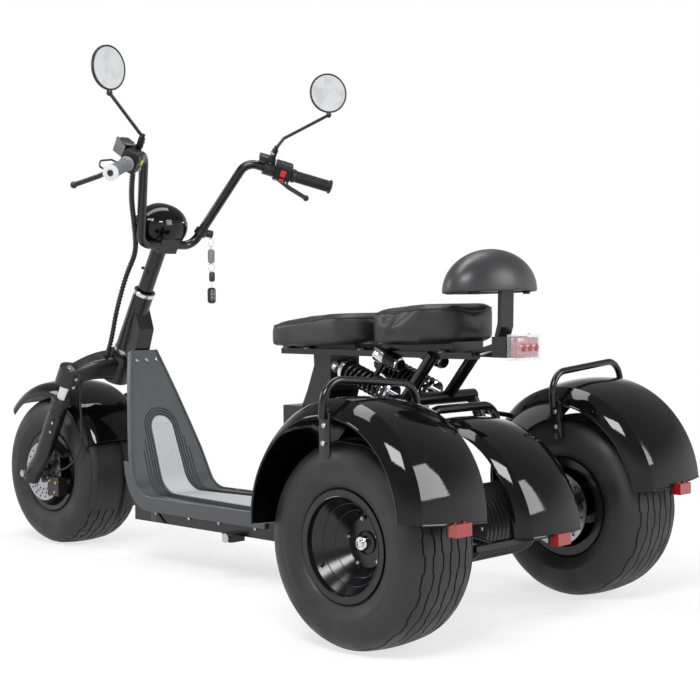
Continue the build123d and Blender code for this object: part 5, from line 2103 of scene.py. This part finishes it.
@dataclass
class Grip:
    """One hand grip with its pattern, end cap and switch."""

    side: int
    finish: str

    def build(self, kit: Kit) -> None:
        """Builds the grip in place of its node, with the switch's buttons.

        Args:
            kit: the frame, the finishes and the shared trees.
        """
        made, place, label = kit.finishes, GripPlace(self.side), hand(self.side)
        profile = [(0, -2), (13, -2), (19, 0), (20, 2), (20, 5), (18, 7), (15.4, 9), (15.2, 60), (15.6, 104)]
        profile += [(18.6, 107), (19.6, 110), (19.6, 115), (18.0, 118), (0, 118)]
        sleeve = Shape(place).turn(profile, (0, 0, 0), AHEAD, 40)
        body = sleeve.build(f"{label}_grip", made[self.finish], Body.STEERING)
        if self.side > 0:
            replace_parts(body, "grips")
        spots = []
        for ring in range(15):
            for i in range(18):
                angle = math.tau * (i + ring % 2 * 0.5) / 18
                up, back = math.cos(angle) * 15.6, math.sin(angle) * 15.6
                way = place(0, up, back) - place(0, 0, 0)
                spots.append((place(13.0 + 6.3 * ring, up, back), way.normalized(), (4.4, 3.4, 2.2)))
        kit.blocks.place(f"{label}_grip_pattern", made[self.finish], Body.STEERING, spots)
        if self.side > 0:
            cap = [(0, -4), (12, -4), (20.5, -2.4), (20.5, -1.2), (0, -1.2)]
            plug = [(0, -7), (7, -7), (8, -5.6), (8, -3), (0, -3)]
            pieces = (("end", "frosted", cap, 40), ("plug", "black_plastic", plug, 24))
            for name, finish, line, steps in pieces:
                shape = Shape(place).turn(line, (0, 0, 0), AHEAD, steps)
                shape.build(f"left_grip_{name}", made[finish], Body.STEERING)
        self.switches(kit, place, label)

    def switches(self, kit: Kit, place: GripPlace, label: str) -> None:
        """Builds the buttons, the seam and the screws of the switch box.

        Args:
            kit: the frame, the finishes and the shared trees.
            place: the grip's own places.
            label: the side's name.
        """
        made = kit.finishes
        buttons = (
            ("horn_button", "button_lime", 8.0, (11.0, 11.0)),
            ("lamp_switch", "button_grey", -10.0, (14.0, 9.0)),
            ("kill_switch", "button_red", 6.0, (15.0, 18.0)),
            ("start_button", "button_red", -14.0, (12.0, 9.0)),
        )
        buttons = buttons[:2] if self.side > 0 else buttons[2:]
        for name, finish, height, (wide, tall) in buttons:
            shape = Shape(place).block((145.0, height, 27.0), (wide, tall, 7.0))
            shape.build(name, made[finish], Body.STEERING, bevel=1.2)
        ring = [(145.0, 4.0 + a * 55.0 / 54.0, 2.0 + b * 47.0 / 46.0) for a, b in rounded(54, 46, 12)]
        seam = Shape(place).tube(ring, 0.9, 6, loop=True)
        seam.build(f"{label}_switch_seam", made["shield_dark"], Body.STEERING)
        spots = [(place(d, -18.0, 25.0), place.way(0, 0, 1), (3.0, 3.0, 2.4)) for d in (130.0, 160.0)]
        kit.rounds.place(f"{label}_switch_screws", made["bolt"], Body.STEERING, spots)
        spots = [(place(186.0, height, 0.0), STEER_UP, (9.0, 9.0, 5.0)) for height in (20.0, 47.0)]
        kit.hexes.place(f"{label}_mirror_nuts", made["bolt"], Body.STEERING, spots)
        clamp = Shape(place).block((186.0, 0.0, -21.0), (24.0, 18.0, 8.0))
        clamp.build(f"{label}_perch_cap", made["cast_black"], Body.STEERING, bevel=1.2)
        spots = [(place(d, 0.0, -24.0), place.way(0, 0, -1), (3.4, 3.4, 4.0)) for d in (180.0, 192.0)]
        kit.rounds.place(f"{label}_perch_screws", made["bolt"], Body.STEERING, spots)


@dataclass
class Cockpit:
    """Reservoir lid, throttle box, keys, clamp bolts and steering collar."""

    def build(self, kit: Kit) -> None:
        """Builds the handlebar's remaining fittings.

        Args:
            kit: the frame, the finishes and the shared trees.
        """
        made = kit.finishes
        u, v, w = GripPlace(1).point(172.0, 0.0, 0.0)
        lid = Shape(at_steer).slab(rounded(48, 40, 5), (u + 32, v + 14, w + 33.5), AHEAD, LEFT, 5.0)
        lid.build("reservoir_lid", made["black_plastic"], Body.STEERING, bevel=0.8)
        spots = []
        for a, b in ((-17, -13), (17, 13)):
            spots.append((at_steer(u + 32 + a, v + 14 + b, w + 36.5), STEER_UP, (3.2, 3.2, 1.6)))
        kit.rounds.place("reservoir_screws", made["bolt"], Body.STEERING, spots)
        box = Shape(GripPlace(-1)).block((196.0, 26.0, -6.0), (46.0, 30.0, 14.0), AHEAD, UP)
        box.build("throttle_box", made["black_plastic"], Body.STEERING, bevel=2.0)
        hook = [(985, 262, 1070), (983, 300, 1083), (976, 340, 1078), (966, 352, 1062), (972, 330, 1056)]
        Shape().tube(bent(hook, 14.0), 2.4, 8).build("lever_guard", made["black_plastic"], Body.STEERING)
        spots = []
        for a, b in ((-16, 22), (-16, -22), (8, 22), (8, -22)):
            spots.append((at_steer(-14 + a * 0.8, b, CLAMP_UP + 47.5), STEER_UP, (5.0, 5.0, 5.0)))
        kit.hexes.place("clamp_bolts", made["bolt"], Body.STEERING, spots)
        collar = [(22.5, 600.0), (30.5, 600.0), (31.0, 602.0), (31.0, 610.0), (29.0, 611.5), (22.5, 611.5)]
        cup = [(22.5, 411.0), (30.0, 411.0), (31.0, 413.0), (31.0, 424.0), (22.5, 424.0)]
        for name, finish, line in (("head_collar", "chrome", collar), ("lower_head_cup", "steel", cup)):
            shape = Shape(at_steer).turn(line, (0, 0, 0), UP, 48, loop=True)
            shape.build(name, made[finish], Body.CHASSIS)
        spots = []
        for x, y, z in ((1215.0, 29.0, 813.0), (1205.0, 22.0, 800.0)):
            spots.append((at(x, y, z), Vector((-0.5, 0.86, 0)), (4.5, 4.5, 4.0)))
        kit.rounds.place("sleeve_bolts", made["cast_black"], Body.STEERING, spots)
        self.keys(kit)

    def keys(self, kit: Kit) -> None:
        """Builds the hanging keys in place of their node.

        Args:
            kit: the frame, the finishes and the shared trees.
        """
        made = kit.finishes
        box = [kit.nodes["key_set"].matrix_world @ Vector(c) for c in kit.nodes["key_set"].bound_box]
        x = sum(c.x for c in box) / 8 * 1000 + CENTRE_X
        y = sum(c.y for c in box) / 8 * 1000
        z = max(c.z for c in box) * 1000
        ring = [(x, y + 9.0 * a, z - 14.0 + 12.0 * b) for a, b in circle(1.0, 28)]
        chain = Shape().tube(ring, 1.1, 6, loop=True)
        for i in range(4):
            along, across = (3.0, 0.0) if i % 2 else (0.0, 3.0)
            drop = 28.0 + 7.0 * i
            link = [(x + along * a, y + across * a, z - drop + 5.0 * b) for a, b in circle(1.0, 14)]
            chain.tube(link, 0.9, 6, loop=True)
        chain.tube([(x, y + 11.0 * a, z - 84.0 + 11.0 * b) for a, b in circle(1.0, 28)], 1.1, 6, loop=True)
        chain.tube([(x, y, z - 70), (x, y, z - 76)], 1.4, 6).tube([(x, y, z - 94), (x, y, z - 140)], 1.2, 6)
        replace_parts(chain.build("key_rings", made["chrome"], Body.STEERING), "key_set")
        plates = (
            ("key_remote", "grip_grey", (20, 40, 8), (0, 52), 8.0, 1.6),
            ("key_tag", "black_plastic", (18, 28, 6), (2, 110), 6.0, 1.2),
            ("key_fob", "black_plastic", (23, 45, 9), (0, 163), 12.0, 2.2),
            ("key_fob_face", "grip_grey", (16, 30, 6), (0, 163), 13.0, 0.8),
        )
        for name, finish, (wide, tall, corner), (right, drop), thick, bevel in plates:
            outline, centre = rounded(wide, tall, corner), (x, y - right, z - drop)
            shape = Shape().slab(outline, centre, LEFT, UP, thick)
            shape.build(name, made[finish], Body.STEERING, bevel=bevel)
        spots = []
        for out in (1, -1):
            for height in (-154.0, -164.0, -174.0):
                spots.append((at(x + out * 6.6, y, z + height), Vector((out, 0, 0)), (3.2, 3.2, 1.4)))
        kit.rounds.place("fob_buttons", made["black_plastic"], Body.STEERING, spots)


@dataclass
class Lamps:
    """Headlight trim and tail light interior."""

    lamp: tuple[float, float, float] = (24.0, 0.0, 56.0)
    pitch: float = math.radians(84.0)
    semi: tuple[float, float, float] = (60.0, 84.0, 64.0)
    lens: tuple[float, float] = (50.0, 74.0)
    tail: tuple[float, float, float, float] = (-128.0, -92.0, 586.0, 643.0)

    def oval(self, depth: float, swell: float, steps: int = 72) -> list[tuple[float, float, float]]:
        """A ring round the headlight, at a depth along its own axis.

        Args:
            depth: the distance from the middle.
            swell: how far it stands off the housing.
            steps: how many points it has.

        Returns:
            The points.
        """
        share = math.sqrt(max(0.0, 1 - (depth / self.semi[0]) ** 2))
        u, v, w = self.lamp
        centre = at_steer(u, v, CLAMP_UP + w) * 1000.0
        axis = Vector((math.sin(self.pitch), 0, math.cos(self.pitch)))
        high = Vector((math.cos(self.pitch), 0, -math.sin(self.pitch)))
        ring = []
        for a, b in circle(1.0, steps):
            point = centre + axis * depth + high * (self.semi[2] * share + swell) * a
            point = point + LEFT * (self.semi[1] * share + swell) * b
            ring.append((point.x + CENTRE_X, point.y, point.z))
        return ring

    def build(self, kit: Kit) -> None:
        """Builds the rings, the vents with their painted highlight and the tail light's inside.

        Args:
            kit: the frame, the finishes and the shared trees.
        """
        made = kit.finishes
        rings = Shape()
        rings.tube(self.oval(36.0, 1.2), 2.6, 8, loop=True)
        rings.build("headlight_bezel", made["chrome"], Body.STEERING)
        joint = Shape().tube(self.oval(6.0, 0.3), 1.3, 8, loop=True)
        joint.build("headlight_joint", made["shield_dark"], Body.STEERING)
        tree = kit.surface("headlight_housing")
        spots = []
        for y, z in ((66.0, 944.0), (40.0, 938.0), (-36.0, 938.0), (-60.0, 944.0)):
            origin = at(900.0, y, z)
            hit, normal, _, _ = tree.ray_cast(origin, AHEAD)
            if hit:
                spots.append((hit, normal, (9.0, 3.0, 1.6)))
        # Small vent blocks on the housing, coloured pale: their colour is a painted highlight.
        kit.blocks.place("headlight_vents_painted_highlight", made["painted_highlight_pale"], Body.STEERING, spots)
        x0, x1, z0, z1 = self.tail
        middle, height = (z0 + z1) / 2, z1 - z0
        inner = Shape()
        inner.block((x0 + 15.0, 0.0, middle), (20.0, 76.0, height - 12.0))
        inner.build("tail_lamp_heart", made["red_lamp"], Body.CHASSIS, bevel=3.0)
        bulbs = Shape()
        for y in (-22.0, 0.0, 22.0):
            bulbs.turn([(0, 0), (10, 0), (10.5, 3), (8, 7), (0, 9)], (x0 + 6.0, y, middle), (-1, 0, 0), 24)
        bulbs.build("tail_lamp_bulbs", made["red_reflector"], Body.CHASSIS)
        spots = [(at(x0 + 30.0, y, z1 + 0.5), UP, (2.6, 2.6, 1.6)) for y in (-34.0, 34.0)]
        kit.rounds.place("tail_lamp_screws", made["bolt"], Body.CHASSIS, spots)


@dataclass
class Mirror:
    """Bezel of one mirror."""

    side: int
    point: tuple[float, float, float]
    turn: float
    radius: float = 56.0

    def build(self, kit: Kit) -> None:
        """Builds the bezel round the glass.

        Args:
            kit: the frame, the finishes and the shared trees.
        """
        u, v, w = self.point
        centre = at_steer(u, v, CLAMP_UP + w)
        origin = Vector((centre.x * 1000 + CENTRE_X, centre.y * 1000, centre.z * 1000))
        axis = Matrix.Rotation(math.radians(self.turn), 3, "Z") @ -AHEAD
        bezel = [(self.radius - 3.2 + 1.7 * a, 0.2 + 1.5 * b) for a, b in circle(1.0, 8)]
        shape = Shape().turn(bezel, origin, axis, 96, loop=True)
        shape.build(f"{hand(self.side)}_mirror_bezel", kit.finishes["black_plastic"], Body.STEERING)


@dataclass
class Fork:
    """Bolts, seals and fittings of the front fork."""

    v: float = 142.0
    u: float = 26.0

    def build(self, kit: Kit) -> None:
        """Builds them.

        Args:
            kit: the frame, the finishes and the shared trees.
        """
        made = kit.finishes
        caps, seals, scallops = Shape(at_steer), Shape(at_steer), Shape(at_steer)
        spots, pinch = [], []
        for side in (1, -1):
            y = side * self.v
            base = (self.u, y, 0.0)
            seal = [(15.6, 222.0), (26.4, 222.0), (27.4, 225.0), (27.4, 233.0), (24.0, 240.0), (15.6, 242.0)]
            seals.turn(seal, base, UP, 40, loop=True)
            cap = [(0, 338.0), (14.5, 338.0), (14.5, 345.0), (11.0, 348.0), (0, 348.0)]
            caps.turn(cap, base, UP, 30)
            for w in (206.0, 196.0):
                hoop = [(25.3 + 0.9 * a, w + 0.9 * b) for a, b in circle(1.0, 6)]
                scallops.turn(hoop, base, UP, 48, loop=True)
            for w in (303.0, 330.0):
                spots.append((at_steer(self.u - 36.0, y + side * 4.0, w), -STEER_AHEAD, (5.2, 5.2, 6.0)))
            for u, w in ((2.0, 176.0), (-2.0, 148.0)):
                pinch.append((at_steer(u, y + side * 24.0, w), Vector((0, side, 0)), (4.6, 4.6, 4.4)))
        seals.build("fork_seals", made["soft_rubber"], Body.STEERING)
        caps.build("fork_caps", made["chrome"], Body.STEERING)
        scallops.build("fork_leg_rings", made["cast_black"], Body.STEERING)
        kit.hexes.place("crown_bolts", made["bolt"], Body.STEERING, spots)
        kit.rounds.place("leg_bolts", made["bolt"], Body.STEERING, pinch)
        nut = [(0, 405.0), (24, 405.0), (24, 409.5), (0, 409.5)]
        Shape(at_steer).turn(nut, (0, 0, 0), UP, 40).build("crown_race", made["steel"], Body.STEERING)
        self.fender(kit)

    def round_axle(self, radius: float, degrees: float) -> tuple[float, float]:
        """The x and z of a place about the front axle, its angle from straight ahead."""
        turn = math.radians(degrees)
        return WHEELBASE + radius * math.cos(turn), AXLE_Z + radius * math.sin(turn)

    def fender(self, kit: Kit) -> None:
        """Builds the front fender's rolled edges, its bolts and the mud flap's panels.

        Args:
            kit: the frame, the finishes and the shared trees.
        """
        made, band = kit.finishes, Band(106.0, 268.0, 46.0)
        edges = Shape()
        for side in (1, -1):
            line = []
            for i in range(49):
                x, z = self.round_axle(223.0, 46.0 + 112.0 * i / 48)
                line.append((x, side * 104.8, z))
            edges.tube(line, 2.2, 8)
        for degrees in (46.4, 157.6):
            places = [(self.round_axle(r - 1.5, degrees), y) for r, y in band.across()]
            edges.tube([(x, y, z) for (x, z), y in places], 2.2, 8)
        edges.build("front_fender_edge", made["gloss_black"], Body.STEERING)
        places = [(x, 103.5, z) for x, z in (self.round_axle(236.0, turn) for turn in (112.0, 122.0))]
        kit.rounds.place("front_fender_bolts", made["bolt"], Body.STEERING, sideways(places, (5.0, 5.0, 4.4)))
        ribs = []
        for i in range(9):
            angle = math.radians(162.0 + 4.8 * i)
            out = Vector((math.cos(angle), 0, math.sin(angle)))
            ribs.append((at(WHEELBASE, 0, AXLE_Z) + out * 0.2478, out, (2.4, 132.0, 2.4)))
        kit.blocks.place("mud_flap_ribs", made["soft_rubber"], Body.STEERING, ribs)


@dataclass(frozen=True)
class Cable:
    """A cable whose two ends are held by the vehicle."""

    name: str
    node: str
    radius: float
    route: tuple[tuple[float, float, float], ...]
    finish: str
    stiffness: str

    def curve(self, kit: Kit) -> tuple[bpy.types.Object, list[Vector]]:
        """Makes the cable as a curve, and gives the points it runs through.

        Args:
            kit: the frame, the finishes and the shared trees.

        Returns:
            The curve, and the points.
        """
        data = bpy.data.curves.new(self.name, "CURVE")
        data.dimensions = "3D"
        data.bevel_depth = self.radius / 1000.0
        data.bevel_resolution = 3
        data.use_fill_caps = True
        line = data.splines.new("NURBS")
        points = self.spread()
        line.points.add(len(points) - 1)
        for point, place in zip(line.points, points):
            point.co = (*place, 1.0)
        line.order_u = 3
        line.use_endpoint_u = True
        line.resolution_u = 6
        data.materials.append(kit.finishes[self.finish])
        return put_in_scene(self.name, data), points

    def spread(self) -> list[Vector]:
        """The route as close points with rounded corners, in the frame.

        Returns:
            The points.
        """
        knots = [Vector(at_steer(*point)) for point in self.route]
        line = [knots[0]]
        for before, here, after in zip(knots, knots[1:], knots[2:]):
            reach = 0.45 * min((before - here).length, (after - here).length)
            start = here + (before - here).normalized() * reach
            line += curved(start, here, here + (after - here).normalized() * reach, 6)
        return [*line, knots[-1]]

    def build(self, kit: Kit) -> list[Vector]:
        """Args:
            kit: the frame, the finishes and the shared trees.

        Returns:
            The points that it runs through.
        """
        piece, points = self.curve(kit)
        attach(piece, Body.STEERING.value)
        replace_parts(piece, self.node)
        length = sum((b - a).length for a, b in zip(points, points[1:]))
        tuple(points[0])
        LOG.info("%s is %.0f mm long", self.name, length * 1000)
        return points


@dataclass
class Cables:
    """The wrapped bundle down to the frame and the brake hose down to the caliper."""

    bundle: Cable = Cable(
        "control_bundle", "cable_bundle", 6.0,
        ((-58, 228, 1024), (-30, 178, 915), (-7, 110, 806), (1, 75, 734), (30, 58, 640), (24, 55, 530),
         (8, 53, 450), (4, 52, 384)),
        "cable_black", "medium",
    )
    hose: Cable = Cable(
        "front_brake_hose", "brake_hose", 3.0,
        ((5, 112, 322), (-20, 116, 262), (-75, 122, 205), (-105, 126, 140), (-80, 128, 75), (-40, 125, 35),
         (-40, 121, 0)),
        "cable_black", "medium",
    )

    def build(self, kit: Kit) -> None:
        """Builds both, and the spiral strip round the bundle.

        Args:
            kit: the frame, the finishes and the shared trees.
        """
        points = self.bundle.build(kit)
        kit.wrap.grow(
            "bundle_wrap", kit.finishes["cable_black"], Body.STEERING, points, joined=True,
            Pitch=0.0105, Reach=0.0064, Wire=0.0016, sharp=60.0,
        )
        self.hose.build(kit)


# ------------------------------------------------------------------ frame nodes
NODES_BY_FINISH = {
    "black_plastic": (
        "control_boxes", "key_set", "lever_reservoir", "mirror_shells", "seat_pans", "switch_left",
        "switch_right", "tail_light",
    ),
    "bolt": ("front_axle",),
    "cable_black": ("brake_hose", "cable_bundle"),
    "cast_black": (
        "brake_levers", "fork_crown", "fork_legs", "front_caliper", "handlebar_clamp", "ignition_lock",
        "lever_perches",
    ),
    "chrome": ("fork_stanchions",),
    "clear_cover": ("tail_light_lens",),
    "gloss_black": (
        "fender_left", "fender_middle", "fender_right", "front_fender", "headlight_housing",
        "shock_reservoirs",
    ),
    "grip_grey": ("grips",),
    "headlamp_glass": ("headlight_lens",),
    "mirror_silver": ("mirror_glasses",),
    "motor_casting": ("motor_block",),
    "pad_grey": ("floor_mat",),
    "red_reflector": ("rear_reflectors",),
    "rest_plastic": ("backrest_pad",),
    "rim_black": ("front_rim", "rear_left_rim", "rear_right_rim"),
    "seat_skin": ("front_seat", "rear_seat"),
    "shield_grey": ("leg_shield",),
    "soft_rubber": ("mud_flap",),
    "spring_black": ("shock_springs", "shock_units"),
    "steel": ("front_disc", "rear_left_disc", "rear_right_disc"),
    "tube_black": (
        "backrest_post", "fender_handles", "floor_frame", "front_fender_stays", "handlebar", "mirror_stems",
        "neck_frame", "rear_cradle", "seat_frame",
    ),
    "tyre_rubber": ("front_tyre", "rear_left_tyre", "rear_right_tyre"),
}


def dress_nodes(nodes: dict[str, bpy.types.Object], finishes: Finishes) -> None:
    """Gives every solid of the frame its finish.

    Args:
        nodes: the frame's objects by name.
        finishes: the materials.
    """
    for finish, names in NODES_BY_FINISH.items():
        for name in names:
            coat(nodes[name].data, finishes[finish])


def corners(box: tuple[Vector, Vector]) -> list[list[float]]:
    """A box as plain lists of numbers."""
    return [list(map(float, corner)) for corner in box]


def main() -> None:
    """Builds the scene round the frame."""
    logging.basicConfig(level=logging.INFO, format="%(name)s: %(message)s")
    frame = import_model()
    cad_box = corners(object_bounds())
    Studio().build()
    finishes = Finishes()
    dress_nodes(frame["nodes"], finishes)
    heads = [Fixings(head) for head in (Head.HEX, Head.ROUND, Head.BLOCK)]
    kit = Kit(frame["nodes"], finishes, *heads, coil_tree(), drilled_tree(), wrap_tree(), ring_tree())
    rear = REAR_TRACK / 2
    assemblies = [
        Tyre("rear_left_tyre", (0.0, rear, AXLE_Z), Body.REAR_LEFT),
        Tyre("rear_right_tyre", (0.0, -rear, AXLE_Z), Body.REAR_RIGHT),
        Tyre("front_tyre", (WHEELBASE, 0.0, AXLE_Z), Body.FRONT_WHEEL, shoulder_slots=True),
        WheelTrim(1, Body.REAR_LEFT, "rear_left_disc"),
        WheelTrim(-1, Body.REAR_RIGHT, "rear_right_disc"),
        FrontWheel(),
        RearFender(1),
        RearFender(-1),
        MiddleFender(),
        Reflectors(),
        Cushion("front_seat", 11.0),
        Cushion("rear_seat", 11.0),
        SeatFixings(),
        Shock(1),
        Shock(-1),
        Shield(),
        Undercarriage(),
        Grip(1, "grip_grey"),
        Grip(-1, "grip_black"),
        Cockpit(),
        Lamps(),
        Mirror(1, (-43.0, 380.0, 521.0), 8.0),
        Mirror(-1, (-35.0, -380.0, 526.0), -22.0),
        Fork(),
        Cables(),
    ]
    for assembly in assemblies:
        assembly.build(kit)
        LOG.info("built %s", type(assembly).__name__)
    {"cad": cad_box, "visual": corners(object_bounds())}


if __name__ == "__main__":
    main()
